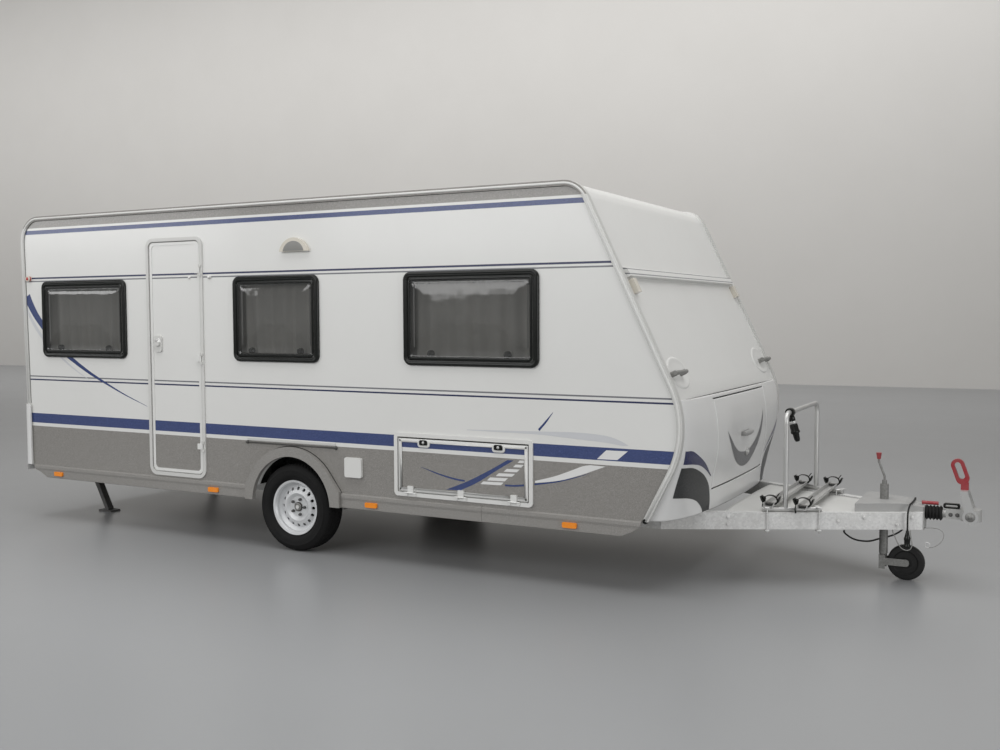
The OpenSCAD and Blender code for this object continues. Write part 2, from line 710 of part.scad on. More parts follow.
module wheel_arches() {
    flare_z = 560;
    flare_x = sqrt(pow(arch_r + arch_band, 2) - pow(flare_z - arch_z, 2));
    color(grey) at_axle() pair() upright(-half_w - arch_proud, arch_proud) difference() {
        union() {
            intersection() {
                translate([0, arch_z]) circle(arch_r + arch_band, $fn = 128);
                translate([-2*arch_r, foot_z - skirt_h]) square([4*arch_r, 3*arch_r]);
            }
            // Flared feet, each up to where its edge meets the circle
            polygon([[arch_foot_x[0], foot_z - skirt_h], [arch_foot_x[1], foot_z - skirt_h], [arch_foot_x[1], foot_z + 8],
                     [flare_x, flare_z], [-flare_x, flare_z], [arch_foot_x[0], foot_z + 8]]);
        }
        translate([0, arch_z]) circle(arch_r, $fn = 128);
    }
}
module wheel_boxes() {
    color(black) at_axle() pair() {
        upright(-inner_y, inner_y - box_y) intersection() {
            difference() {
                translate([0, arch_z]) circle(box_r, $fn = 128);
                translate([0, arch_z]) circle(box_r - box_t, $fn = 128);
            }
            translate([-2*box_r, foot_z]) square([4*box_r, 2*box_r]);
        }
        upright(-box_y, box_t) intersection() {
            translate([0, arch_z]) circle(box_r, $fn = 128);
            translate([-2*box_r, foot_z]) square([4*box_r, 2*box_r]);
        }
    }
}
module power_inlet() {
    color(white) at_axle() on_side(0) upright(-20, 20) rounded(465, 604, 566, 701, 14);
}
module awning_lamp() {
    lamp_foot_z = roof_z - 350;
    color([0.85, 0.82, 0.74]) at_axle() on_side(0) upright(-28, 28) intersection() {
        translate([57, lamp_foot_z - 35]) circle(130);
        translate([-200, lamp_foot_z]) square([500, 200]);
    }
}
module fridge_vents() {
    vent = [420, 880, 220];
    color(white) at_axle() on_side(1) for (z0 = [640, roof_z - 1040]) difference() {
        upright(-16, 16) rounded(vent[0], vent[1], z0, z0 + vent[2], 16);
        for (i = [0:6]) upright(-17, 9)
            translate([vent[0] + 30, z0 + 26 + i*25]) square([vent[1] - vent[0] - 60, 12]);
    }
}
module roof_light_frames() {
    color(white) at_axle() for (r = roof_lights) translate([r[0], 0, roof_z]) linear_extrude(roof_light_h)
        difference() {
            rounded(-r[1]/2, r[1]/2, -r[2]/2, r[2]/2, roof_light_r);
            rounded(-r[1]/2 + roof_light_lap, r[1]/2 - roof_light_lap,
                    -r[2]/2 + roof_light_lap, r[2]/2 - roof_light_lap, 10);
        }
}
module roof_light_domes() {
    color([0.8, 0.82, 0.82, 0.6]) at_axle() for (r = roof_lights)
        translate([r[0], 0, roof_z + roof_light_h]) difference() {
            linear_extrude(roof_dome_h) rounded(-r[1]/2 + 8, r[1]/2 - 8, -r[2]/2 + 8, r[2]/2 - 8, roof_light_r);
            translate([0, 0, -1]) linear_extrude(roof_dome_h - 5)
                rounded(-r[1]/2 + 14, r[1]/2 - 14, -r[2]/2 + 14, r[2]/2 - 14, roof_light_r - 6);
        }
}

// C-section chassis members with cross beams
module chassis_rails() {
    rail_x0 = rear_x + 80;
    rail_x1 = drawbar_rear_x;
    color(steel) at_axle() {
        pair() translate([rail_x0, -member_y, member_bot]) difference() {
            translate([0, -member_w/2, 0]) cube([rail_x1 - rail_x0, member_w, member_h]);
            translate([-1, -member_w/2 + member_wall, member_wall])
                cube([rail_x1 - rail_x0 + 2, member_w, member_h - 2*member_wall]);
        }
        for (x = [rear_x + 685, -900, 700, rail_x1 - 90])
            translate([x, -member_y + member_w/2, member_top - 60]) difference() {
                cube([60, 2*member_y - member_w, 60]);
                translate([member_wall, -1, -1]) cube([60 - 2*member_wall, 2*member_y, 60 - member_wall + 1]);
            }
    }
}
module drawbar() {
    plate_x0 = 3640;
    side_out = member_w/2/cos(drawbar_angle);
    color(steel) at_axle() {
        difference() {
            union() {
                translate([0, 0, member_bot]) linear_extrude(member_h) pair()
                    polygon([[drawbar_rear_x, -member_y - side_out], [drawbar_tip_x, -drawbar_tip_y - side_out],
                             [drawbar_tip_x, -drawbar_tip_y + side_out], [drawbar_rear_x, -member_y + side_out]]);
                translate([0, 0, member_bot]) linear_extrude(12)
                    polygon([[plate_x0, -member_at(plate_x0)], [drawbar_tip_x, -drawbar_tip_y],
                             [drawbar_tip_x, drawbar_tip_y], [plate_x0, member_at(plate_x0)]]);
                translate([0, 0, member_top - 12]) linear_extrude(12)
                    polygon([[plate_x0, -member_at(plate_x0)], [drawbar_tip_x, -drawbar_tip_y],
                             [drawbar_tip_x, drawbar_tip_y], [plate_x0, member_at(plate_x0)]]);
            }
            translate([jockey_x, 0, 0]) cylinder(r = jockey_r + seat_gap, h = 1000);
        }
        // Gland of the supply cable
        translate(supply_route[0]) cylinder(r = 9, h = member_bot - supply_route[0].z + 1);
    }
}
// Torsion axle: hexagonal beam, trailing arms and wheel stubs
module axle() {
    color(steel) at_axle() {
        translate([arm_l, arm_y, beam_z]) rotate([90, 0, 0])
            cylinder(r = beam_r, h = 2*arm_y, $fn = 6);
        pair() {
            upright(-arm_y - arm_t, arm_t) {
                translate([arm_l, beam_z]) circle(46);
                translate([0, axle_z]) circle(38);
                polygon([[arm_l, beam_z + 46], [arm_l, beam_z - 46], [0, axle_z - 38], [0, axle_z + 38]]);
            }
            translate([0, -arm_y - arm_t, axle_z]) rotate([90, 0, 0])
                cylinder(r = 40, h = backplate_y - arm_y - arm_t);
            translate([0, -backplate_y, axle_z]) rotate([90, 0, 0]) cylinder(r = drum_r + 4, h = backplate_t);
            translate([0, -arm_y - arm_t, axle_z]) rotate([90, 0, 0])
                cylinder(r = stub_r, h = hub_y + 14 - arm_y - arm_t);
            translate([0, -hub_y - 14, axle_z]) rotate([90, 0, 0]) cylinder(r = stub_r - 4, h = 10);
        }
    }
}
// Corner steadies: bracket, leg, foot and winding spindle; lean is the leg's angle from upright
steady_y = member_y - 140;
steady_leg = 420;
module steady(pivot_x, lean, down) {
    pivot_z = down ? 24 + steady_leg*cos(lean) : member_top - 45;
    foot = [pivot_x + steady_leg*sin(lean), pivot_z - steady_leg*cos(lean)];
    side = lean > 0 ? 1 : -1;
    translate([min(pivot_x - side*50, pivot_x + side*420), -steady_y - 40, member_top - 14]) cube([470, 80, 14]);
    translate([pivot_x - 26, -steady_y - 40, pivot_z - 26]) cube([52, 12, member_top - pivot_z + 26]);
    translate([pivot_x - 26, -steady_y + 28, pivot_z - 26]) cube([52, 12, member_top - pivot_z + 26]);
    upright(-steady_y - 28, 56) {
        translate([pivot_x, pivot_z]) circle(22);
        translate(foot) circle(20);
        polygon([[pivot_x + 20*cos(lean), pivot_z + 20*sin(lean)], [pivot_x - 20*cos(lean), pivot_z - 20*sin(lean)],
                 [foot.x - 18*cos(lean), foot.y - 18*sin(lean)], [foot.x + 18*cos(lean), foot.y + 18*sin(lean)]]);
    }
    if (down) translate([foot.x - 75, -steady_y - 50, 0]) cube([150, 100, 14]);
}
module steadies() {
    color(steel) at_axle() pair() {
        steady(rear_x + 165, 28, true);
        steady(drawbar_rear_x - 275, -84, false);
    }
}

module jockey_tube() {
    crank_z = 690;
    color(steel) at_axle() translate([jockey_x, 0, 0]) {
        difference() {
            translate([0, 0, jockey_tube_z0]) cylinder(r = jockey_r, h = jockey_tube_z1 - jockey_tube_z0);
            translate([0, 0, jockey_tube_z0 - 1]) cylinder(r = inner_tube_r, h = 321);
        }
        translate([0, 0, jockey_tube_z1]) cylinder(r = 15, h = 24);
        rod([0, 0, jockey_tube_z1 + 20], [0, 0, jockey_tube_z1 + 50], 7);
        rod([0, 0, jockey_tube_z1 + 46], [-36, 0, crank_z + 46], 7);
        rod([-36, 0, crank_z + 42], [-36, 0, crank_top_z], 7);
    }
}
module jockey_fork() {
    fork_y = castor_w/2 + 4;
    fork_t = 7;
    axle_h = castor_r;
    color(steel) at_axle() {
        translate([jockey_x, 0, 130]) cylinder(r = inner_tube_r - run_gap, h = 250);
        difference() {
            translate([jockey_x - 22, -fork_y - fork_t, 62]) cube([38, 2*(fork_y + fork_t), 88]);
            translate([jockey_x - 14, -fork_y, 50]) cube([60, 2*fork_y, 70]);
        }
        for (s = [-1, 1]) upright(s > 0 ? fork_y : -fork_y - fork_t, fork_t) {
            translate([castor_x, axle_h]) circle(22);
            translate([jockey_x + 10, axle_h - 22]) square([castor_trail - 10, 44]);
        }
        translate([castor_x, fork_y + 2, axle_h]) rotate([90, 0, 0]) cylinder(r = castor_pin_r, h = 2*fork_y + 4);
    }
}
module jockey_wheel() {
    r = castor_r;
    w = castor_w/2;
    color(black) at_axle() translate([castor_x, 0, r]) rotate([90, 0, 0]) rotate_extrude($fn = 96)
        polygon([[castor_pin_r + run_gap, -w], [26, -w], [30, -w + 10], [r - 42, -w + 10], [r - 34, -w + 1],
                 [r - 8, -w + 3], [r, -w + 14], [r, w - 14], [r - 8, w - 3], [r - 34, w - 1], [r - 42, w - 10],
                 [30, w - 10], [26, w], [castor_pin_r + run_gap, w]]);
}

// Plastic cover over the drawbar's nose, open below, its top falling to the front
cover_front_z = 478;
cover_fall = 110;
function cover_top(x) = min(cover_z1, cover_front_z + (cover_x1 - x)*(cover_z1 - cover_front_z)/cover_fall);
module cover_block(inset, past) {
    function half(x) = member_at(x) - 6 - inset;
    intersection() {
        translate([0, 0, cover_z0 - past]) linear_extrude(200)
            polygon([[cover_x0 - past, -half(cover_x0)], [cover_x1 + past, -half(cover_x1)],
                     [cover_x1 + past, half(cover_x1)], [cover_x0 - past, half(cover_x0)]]);
        upright(-500, 1000)
            polygon([[cover_x0 - 9, cover_z0 - past], [cover_x1 + 9, cover_z0 - past], [cover_x1 + 9, cover_front_z - inset],
                     [cover_x1, cover_front_z - inset], [cover_x1 - cover_fall, cover_z1 - inset],
                     [cover_x0 - 9, cover_z1 - inset]]);
    }
}
module drawbar_cover() {
    color(grey) at_axle() difference() {
        cover_block(0, 0);
        cover_block(4, 1);
        translate([jockey_x, 0, 0]) cylinder(r = jockey_r + seat_gap, h = 1000);
    }
}
module overrun_housing() {
    color(steel) at_axle() {
        translate([drawbar_tip_x - 100, -48, member_top]) cube([100, 96, 22]);
        translate([drawbar_tip_x, -60, member_bot - 12]) cube([end_plate_t, 120, member_h + 40]);
    }
}
module bellows() {
    n = 5;
    pitch = (bellows_x1 - bellows_x0)/n;
    color(black) at_axle() translate([bellows_x0, 0, ball_z]) rotate([0, 90, 0]) rotate_extrude()
        polygon(concat([[tow_tube_r + seat_gap, 0]],
                       [for (i = [0:n - 1]) each [[36, i*pitch], [47, (i + 0.5)*pitch]]],
                       [[36, bellows_x1 - bellows_x0], [tow_tube_r + seat_gap, bellows_x1 - bellows_x0]]));
}
module coupling_head() {
    socket_r = ball_r + 0.1;
    shell_z0 = ball_z - 32;
    color(steel) at_axle() difference() {
        union() {
            translate([bellows_x0, 0, ball_z]) rotate([0, 90, 0]) cylinder(r = tow_tube_r, h = ball_x - bellows_x0);
            translate([bellows_x1 + 20, -34, ball_z - 26]) cube([ball_x - bellows_x1 - 20, 68, 60]);
            translate([ball_x, 0, shell_z0]) cylinder(r = head_r, h = 72);
            translate([ball_x, 0, ball_z]) rotate([90, 0, 0]) cylinder(r = 36, h = 2*head_r + 8, center = true);
        }
        translate([ball_x, 0, shell_z0 - 60]) cylinder(r = socket_r, h = 60 + ball_z - shell_z0);
        translate([ball_x, 0, ball_z]) sphere(r = socket_r);
    }
}
// Stabiliser lever with its friction discs, and the handbrake lever
lever_top = [ball_x - 38, ball_z + 155];
grip_x = cover_x1 - 17;
grip_z = 496;
module hitch_levers() {
    disc_y = head_r + 4;
    color(steel) at_axle() {
        for (s = [-1, 1]) upright(s > 0 ? disc_y : -disc_y - 9, 9) {
            translate([ball_x, ball_z]) circle(44);
            polygon([[ball_x - 34, ball_z + 28], [ball_x + 22, ball_z + 34], [lever_top.x + 20, lever_top.y],
                     [lever_top.x - 20, lever_top.y]]);
        }
        upright(-disc_y - 9, 2*disc_y + 18)
            translate([lever_top.x - 20, lever_top.y - 30]) square([40, 30]);
        upright(-8, 16)
            polygon([[grip_x - 28, cover_top(grip_x - 28)], [grip_x, cover_top(grip_x)], [grip_x, cover_top(grip_x) + 9],
                     [grip_x - 28, cover_top(grip_x - 28) + 9]]);
    }
}
module coupling_handle() {
    color(black) at_axle() upright(-14, 28) difference() {
        rounded(bellows_x1 + 4, ball_x - head_r - 1, ball_z + 34, ball_z + 66, 12);
        rounded(bellows_x1 + 16, ball_x - head_r - 15, ball_z + 44, ball_z + 56, 5);
    }
}
module red_grips() {
    loop_l = 160;
    color(red) at_axle() {
        upright(-15, 30) translate(lever_top) {
            translate([-22, 0]) square([44, 46]);
            translate([0, 34]) rotate(20) difference() {
                rounded(-38, 38, 0, loop_l, 37);
                rounded(-18, 18, 34, loop_l - 20, 17);
            }
        }
        translate([grip_x, 0, grip_z]) rotate([0, 90, 0]) cylinder(r = 11, h = 96);
        translate([jockey_x - 36, 0, crank_top_z]) cylinder(r1 = 11, r2 = 17, h = 40);
    }
}

// Bike rack: base tubes along the drawbar members, clamp bolts and the hoop
module rack_frame() {
    x0 = hoop_x - 128;
    x1 = hoop_x + 197;
    z = rack_tube_z;
    color(steel) at_axle() {
        pair() {
            rod([x0, -member_at(x0), z], [x1, -member_at(x1), z], rack_r);
            translate([hoop_x, -hoop_y, z]) cylinder(r = rack_r, h = hoop_z - hoop_bend - z);
            translate([hoop_x, -hoop_y + hoop_bend, hoop_z - hoop_bend]) rotate([0, -90, 0])
                rotate([0, 0, -90]) rotate_extrude(angle = 90) translate([hoop_bend, 0]) circle(rack_r);
        }
        translate([hoop_x, hoop_y - hoop_bend, hoop_z]) rotate([90, 0, 0]) cylinder(r = rack_r, h = 2*(hoop_y - hoop_bend));
    }
}
module rack_rails() {
    color(steel) at_axle() for (x = rack_rail_x) translate([x, rack_rail_l/2, rack_rail_z]) rotate([90, 0, 0])
        linear_extrude(rack_rail_l)
            polygon([[-34, rack_rail_h], [-26, 0], [26, 0], [34, rack_rail_h], [30, rack_rail_h], [22, 4],
                     [-22, 4], [-30, rack_rail_h]]);
}
module rack_holders() {
    holder_y = rack_rail_l/2 - 60;
    color(black) at_axle() {
        for (x = rack_rail_x, s = [-1, 1]) translate([x, s*holder_y, rack_rail_z + rack_rail_h])
            rotate([90, 0, 0]) rotate_extrude(angle = 180) translate([36, 0]) square([7, 24], center = true);
        translate([hoop_x, -hoop_y + hoop_bend + 40, hoop_z]) rotate([90, 0, 0]) difference() {
            union() {
                cylinder(r = rack_r + 9, h = 40, center = true);
                translate([-14, -150, -14]) cube([28, 140, 28]);
            }
            cylinder(r = rack_r + seat_gap, h = 60, center = true);
        }
    }
}

// A tube swept along a route: a ring of points square to the path at each place
function path_dir(p, i) = let (a = p[max(0, i - 1)], b = p[min(len(p) - 1, i + 1)]) (b - a)/norm(b - a);
function path_side(d) = let (ref = abs(d.y) < 0.9 ? [0, 1, 0] : [1, 0, 0], s = cross(d, ref)) s/norm(s);
module cord(p, r, sides) {
    n = len(p);
    points = [for (i = [0:n - 1]) let (d = path_dir(p, i), u = path_side(d), v = cross(d, u))
                 for (k = [0:sides - 1]) p[i] + r*(u*cos(360*k/sides) + v*sin(360*k/sides))];
    faces = concat([[for (k = [0:sides - 1]) k]],
                   [for (i = [0:n - 2], k = [0:sides - 1]) let (m = (k + 1) % sides)
                       each [[i*sides + k, (i + 1)*sides + k, i*sides + m],
                             [i*sides + m, (i + 1)*sides + k, (i + 1)*sides + m]]],
                   [[for (k = [sides - 1:-1:0]) (n - 1)*sides + k]]);
    polyhedron(points, faces);
}
module supply_cable() color(black) at_axle() cord(supply_route, supply_d/2, 10);
module breakaway_cable() color(steel) at_axle() cord(breakaway_route, breakaway_d/2, 8);
module supply_plug() {
    end = supply_route[len(supply_route) - 1];
    color(black) at_axle() translate([end.x, end.y, supply_plug_z - supply_plug_l]) {
        cylinder(r = 19, h = 62);
        translate([0, 0, 62]) cylinder(r1 = 19, r2 = 9, h = supply_plug_l - 62);
    }
}

// Wheel in its own frame: axis along Z, outside at +Z, middle plane at 0
module rim_shape() {
    f = rim_r + 17;
    difference() {
        rotate_extrude($fn = 128)
            polygon([[f, 76], [f, 70], [rim_r + 4, 66], [rim_r, 58], [rim_r, 38], [rim_r - 22, 22], [rim_r - 22, -8],
                     [rim_r, -24], [rim_r, -58], [rim_r + 4, -66], [f, -70], [f, -76], [rim_r + 2, -73],
                     [rim_r - 6, -60], [rim_r - 6, -28], [rim_r - 28, -10], [rim_r - 28, 6], [rim_r - 60, 34],
                     [rim_r - 78, 40], [rim_r - 100, 26], [33, 26], [33, 32], [rim_r - 104, 32], [rim_r - 80, 47],
                     [rim_r - 56, 41], [rim_r - 30, 24], [rim_r - 6, 40], [rim_r - 6, 60], [rim_r + 2, 73]]);
        for (i = [0:15]) rotate([0, 0, i*22.5]) translate([rim_r - 47, 0, 0]) cylinder(r = 11, h = 60);
        for (i = [0:4]) rotate([0, 0, i*72]) translate([56, 0, 0]) cylinder(r = 6.5, h = 60);
    }
}
module tyre_shape() {
    w = tyre_w/2;
    rotate_extrude($fn = 128)
        polygon([[rim_r + 0.3, 58], [rim_r + 0.3, -58], [rim_r + 4.5, -65.5], [rim_r + 17.5, -69.5], [rim_r + 40, -w + 8],
                 [rim_r + 70, -w], [tyre_r - 36, -w + 5], [tyre_r - 12, -w + 18], [tyre_r - 3, -w + 32],
                 [tyre_r, -w + 55], [tyre_r, w - 55], [tyre_r - 3, w - 32], [tyre_r - 12, w - 18], [tyre_r - 36, w - 5],
                 [rim_r + 70, w], [rim_r + 40, w - 8], [rim_r + 17.5, 69.5], [rim_r + 4.5, 65.5]]);
}
module drum_shape() {
    z1 = 26;
    difference() {
        union() {
            translate([0, 0, z1 - 6 - drum_w]) cylinder(r = drum_r, h = drum_w + 6 - 0.3);
            cylinder(r = 32.5, h = z1 + 14);
            for (i = [0:4]) rotate([0, 0, i*72]) translate([56, 0, 0]) cylinder(r = 6, h = z1 + 26);
        }
        translate([0, 0, -200]) cylinder(r = stub_r + run_gap, h = 600);
    }
}
module on_wheel(side) translate([0, side*wheel_y, axle_z]) rotate([-90*side, 0, 0]) children();
module rim_right() color(steel) at_axle() on_wheel(-1) rim_shape();
module rim_left() color(steel) at_axle() on_wheel(1) rim_shape();
module tyre_right() color(black) at_axle() on_wheel(-1) tyre_shape();
module tyre_left() color(black) at_axle() on_wheel(1) tyre_shape();
module brake_drum_right() color(steel) at_axle() on_wheel(-1) drum_shape();
module brake_drum_left() color(steel) at_axle() on_wheel(1) drum_shape();

floor_panel();
side_wall_right();
side_wall_left();
roof_panel();
front_panel();
rear_wall();
front_locker();
edge_rails();
grab_handles();
marker_lamps();
side_markers();
rear_bumper();
rear_lamps();
window_frames();
window_panes();
curtains();
door_frame();
hatch_frames();
side_skirts();
wheel_arches();
wheel_boxes();
power_inlet();
awning_lamp();
fridge_vents();
roof_light_frames();
roof_light_domes();
chassis_rails();
drawbar();
axle();
steadies();
jockey_tube();
drawbar_cover();
overrun_housing();
bellows();
coupling_head();
hitch_levers();
coupling_handle();
red_grips();
rack_frame();
rack_rails();
rack_holders();
supply_cable();
supply_plug();
breakaway_cable();
rim_right();
rim_left();
tyre_right();
tyre_left();
brake_drum_right();
brake_drum_left();
jockey_fork();
jockey_wheel();
entrance_door();
door_handle();
locker_lid();
lid_handle();
service_lid();
service_locks();
cassette_lid();
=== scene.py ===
# %% [markdown]
# # A travel caravan, dressed around its CAD frame
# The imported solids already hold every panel, wheel and hinge in metres. This lesson keeps the solids whose
# shape is right, gives each a finish, and adds the pieces that want a finer surface: the moulded front, the
# tyres, the window rubbers, the pleated curtains, the cords and the stripes.

# %% Load the frame
import math
import bmesh
import bpy
import numpy as np
from mathutils import Matrix


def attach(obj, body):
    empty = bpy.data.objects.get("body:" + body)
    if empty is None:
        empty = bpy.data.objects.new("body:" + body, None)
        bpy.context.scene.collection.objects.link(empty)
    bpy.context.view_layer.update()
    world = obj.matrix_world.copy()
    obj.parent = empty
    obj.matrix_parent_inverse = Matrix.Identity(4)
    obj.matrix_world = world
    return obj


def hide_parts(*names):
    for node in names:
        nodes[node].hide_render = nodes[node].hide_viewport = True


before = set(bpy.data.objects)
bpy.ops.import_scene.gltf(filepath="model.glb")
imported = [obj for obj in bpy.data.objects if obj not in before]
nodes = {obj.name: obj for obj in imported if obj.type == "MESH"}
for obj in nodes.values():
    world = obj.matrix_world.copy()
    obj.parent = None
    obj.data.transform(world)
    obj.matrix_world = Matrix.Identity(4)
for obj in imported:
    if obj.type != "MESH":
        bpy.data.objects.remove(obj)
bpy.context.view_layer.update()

# %% [markdown]
# Places along the caravan were measured from its axle in millimetres, as on a drawing. The frame counts
# metres from the middle of the ground, so one small function carries arrays from the drawing to the frame.

# %% From the drawing to the frame
AXLE_X = -0.7715
HALF_W = 1150.0


def place(x, y, z):
    """Drawing millimetres from the axle to frame metres: x is shifted by the axle's place, and all are
    divided by 1000."""
    x, y, z = np.broadcast_arrays(np.asarray(x, float), np.asarray(y, float), np.asarray(z, float))
    return np.stack([x / 1000 + AXLE_X, y / 1000, z / 1000], axis=-1)


# %% [markdown]
# The camera stands where the photographer stood: it was solved from edges whose real places are known. A wide
# frame of 1000 by 750 needs the focal length over the sensor's width only.

# %% Camera
EYE = (3.9912, -6.9288, 1.6699)
YAW, PITCH, ROLL = (math.radians(a) for a in (28.223, 3.313, -0.219))
FOCAL_PX, FRAME_PX, SENSOR = 1050.3, 1000, 36.0

aim = np.array([-math.sin(YAW) * math.cos(PITCH), math.cos(YAW) * math.cos(PITCH), -math.sin(PITCH)])
right = np.array([math.cos(YAW), math.sin(YAW), 0.0])
up = np.cross(right, aim)
right, up = (math.cos(ROLL) * right + math.sin(ROLL) * up, -math.sin(ROLL) * right + math.cos(ROLL) * up)
camera = bpy.data.objects.new("camera", bpy.data.cameras.new("camera"))
bpy.context.scene.collection.objects.link(camera)
camera.data.sensor_width = SENSOR
camera.data.lens = FOCAL_PX / FRAME_PX * SENSOR
camera.data.clip_end = 200
pose = np.eye(4)
pose[:3, 0], pose[:3, 1], pose[:3, 2], pose[:3, 3] = right, up, -aim, EYE
camera.matrix_world = Matrix(pose.tolist())
bpy.context.scene.camera = camera
print("lens:", round(camera.data.lens, 2), "mm")

# %% [markdown]
# Every added piece is a surface worked out as arrays. These helpers join grids of points with quads, carry a
# profile along a path, and put the result into a mesh that sits at the origin with its place in its points.


# %% Surface helpers
def grid_quads(nu, nv, close_u, close_v):
    """Quads of an nu by nv grid of points stored row by row; a closed direction joins its last line to its
    first."""
    i = np.arange(nu if close_u else nu - 1)
    j = np.arange(nv if close_v else nv - 1)
    i, j = np.meshgrid(i, j, indexing="ij")
    i2, j2 = (i + 1) % nu, (j + 1) % nv
    return np.stack([i * nv + j, i2 * nv + j, i2 * nv + j2, i * nv + j2], -1).reshape(-1, 4)


def join(parts):
    """Several (points, quads) pairs as one, each part's quads counted on from the points before it."""
    counts = np.cumsum([0] + [len(p) for p, _ in parts[:-1]])
    return (np.concatenate([p for p, _ in parts]),
            np.concatenate([q + c for (_, q), c in zip(parts, counts)]))


def surface(points, close_u=False, close_v=False):
    """A grid of points, shape (nu, nv, 3), as (points, quads)."""
    nu, nv = points.shape[:2]
    return points.reshape(-1, 3), grid_quads(nu, nv, close_u, close_v)


def bend_path(points, per_span=8):
    """Catmull-Rom curve through the points: on each span the cubic whose end slopes are half the chord round
    that end."""
    p = np.asarray(points, float)
    p = np.concatenate([[2 * p[0] - p[1]], p, [2 * p[-1] - p[-2]]])
    t = np.linspace(0, 1, per_span, endpoint=False)[None, :, None]
    a, b, c, d = (p[k:len(p) - 3 + k][:, None] for k in range(4))
    spans = 0.5 * (2 * b + (c - a) * t + (2 * a - 5 * b + 4 * c - d) * t ** 2
                   + (3 * b - a - 3 * c + d) * t ** 3)
    return np.concatenate([spans.reshape(-1, p.shape[1]), p[-2:-1]])


def unit(v):
    return v / np.linalg.norm(v, axis=-1, keepdims=True)


def along(path, profile, normal):
    """Carries a closed profile along an open path: point = path + a * side + b * lift, where side is the path's
    direction crossed with the given normal, lift is side crossed with the direction, and (a, b) is a profile
    point."""
    path, profile = np.asarray(path, float), np.asarray(profile, float)
    step = unit(np.gradient(path, axis=0))
    side = unit(np.cross(step, np.broadcast_to(np.asarray(normal, float), path.shape)))
    lift = unit(np.cross(side, step))
    points = path[:, None] + profile[None, :, :1] * side[:, None] + profile[None, :, 1:] * lift[:, None]
    return surface(points, close_v=True)


def capped(part, nu, nv):
    """Closes both ends of a tube of nu rings with nv points by a fan of quads to each ring's middle."""
    points, quads = part
    ends = points.reshape(nu, nv, 3)[[0, -1]].mean(1)
    j = np.arange(nv)
    k = (j + 1) % nv
    first = np.stack([j, k, np.full(nv, nu * nv), np.full(nv, nu * nv)], -1)
    last = np.stack([(nu - 1) * nv + k, (nu - 1) * nv + j, np.full(nv, nu * nv + 1),
                     np.full(nv, nu * nv + 1)], -1)
    return np.concatenate([points, ends]), np.concatenate([quads, first, last])


def swept(path, section, normal):
    """A closed section carried along an open path, with closed ends."""
    return capped(along(path, section, normal), len(path), len(section))


def tube(path, radius, sides=12, up=(0, 0, 1)):
    """A round rod: a circle of the radius carried along the path, with closed ends."""
    angle = np.linspace(0, 2 * np.pi, sides, endpoint=False)
    return swept(path, radius * np.stack([np.cos(angle), np.sin(angle)], -1), up)


def mm(*points):
    """Points of a section in millimetres, as an array in metres."""
    return np.array(points, float) / 1000


def smooth_route(points, per_span):
    """The smooth curve through places of the drawing, in the frame."""
    return bend_path(place(*np.array(points, float).T), per_span)


def flat_strip(width, thick):
    """A flat section with eased edges: its width and thickness are given in millimetres."""
    w, t = width / 2000, thick / 2000
    return np.array([(-w, -t * 0.4), (-w * 0.9, -t), (w * 0.9, -t), (w, -t * 0.4),
                     (w, t * 0.4), (w * 0.9, t), (-w * 0.9, t), (-w, t * 0.4)])


def lathe(profile, centre, axis, turns=48):
    """Turns a profile of (radius, height) about an axis:
    point = centre + radius * (cos t, sin t) + height * axis."""
    profile, axis = np.asarray(profile, float), unit(np.asarray(axis, float))
    a = unit(np.cross(axis, [0.31, 0.17, 0.94]))
    b = np.cross(axis, a)
    t = np.linspace(0, 2 * np.pi, turns, endpoint=False)[:, None, None]
    points = (np.asarray(centre) + profile[None, :, :1] * (np.cos(t) * a + np.sin(t) * b)
              + profile[None, :, 1:] * axis)
    return surface(points, close_u=True)


WELD = 1e-6


def piece(name, part, body, finish, smooth=True, facing=None):
    """Makes the mesh object of a (points, quads) pair, closes its seams and poles, and lets it ride on a body.
    A closed shell gets its normals worked out; an open sheet is turned so that it faces the given
    direction."""
    points, quads = part
    mesh = bpy.data.meshes.new(name)
    mesh.from_pydata(np.asarray(points).tolist(), [], np.asarray(quads).tolist())
    shape = bmesh.new()
    shape.from_mesh(mesh)
    bmesh.ops.remove_doubles(shape, verts=shape.verts, dist=WELD)
    bmesh.ops.dissolve_degenerate(shape, edges=shape.edges, dist=WELD)
    bmesh.ops.recalc_face_normals(shape, faces=shape.faces)
    shape.to_mesh(mesh)
    shape.free()
    if facing is not None:
        normals = np.empty(len(mesh.polygons) * 3)
        mesh.polygons.foreach_get("normal", normals)
        if normals.reshape(-1, 3).sum(0) @ np.asarray(facing, float) < 0:
            mesh.flip_normals()
    mesh.polygons.foreach_set("use_smooth", np.full(len(mesh.polygons), smooth))
    thing = bpy.data.objects.new(name, mesh)
    bpy.context.scene.collection.objects.link(thing)
    mesh.materials.append(finish)
    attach(thing, body)
    return thing


def turned(name, profile, spots, body, finish, turns=48, smooth=True):
    """One piece of like turned shapes: the profile about each (place, axis) of the spots."""
    shapes = [lathe(profile, at, axis, turns) for at, axis in spots]
    return piece(name, join(shapes), body, finish, smooth)


def on_both_sides(x, y, z):
    """Places and outward axes of a pair of fittings, right and left."""
    return [(place(x, side * y, z), (0, side, 0)) for side in (-1, 1)]


def add_modifier(thing, kind, **values):
    """Adds one modifier and sets its values by name."""
    made = thing.modifiers.new(kind.lower(), kind)
    for key, value in values.items():
        setattr(made, key, value)


# %% [markdown]
# Finishes share a few effects: uneven dust and gloss, the mica flake of the grey and blue foil, the spangle
# of hot-dip galvanised steel and the fine grain of moulded plastic. Each is one node group, built once here
# and placed in the materials with its own values.


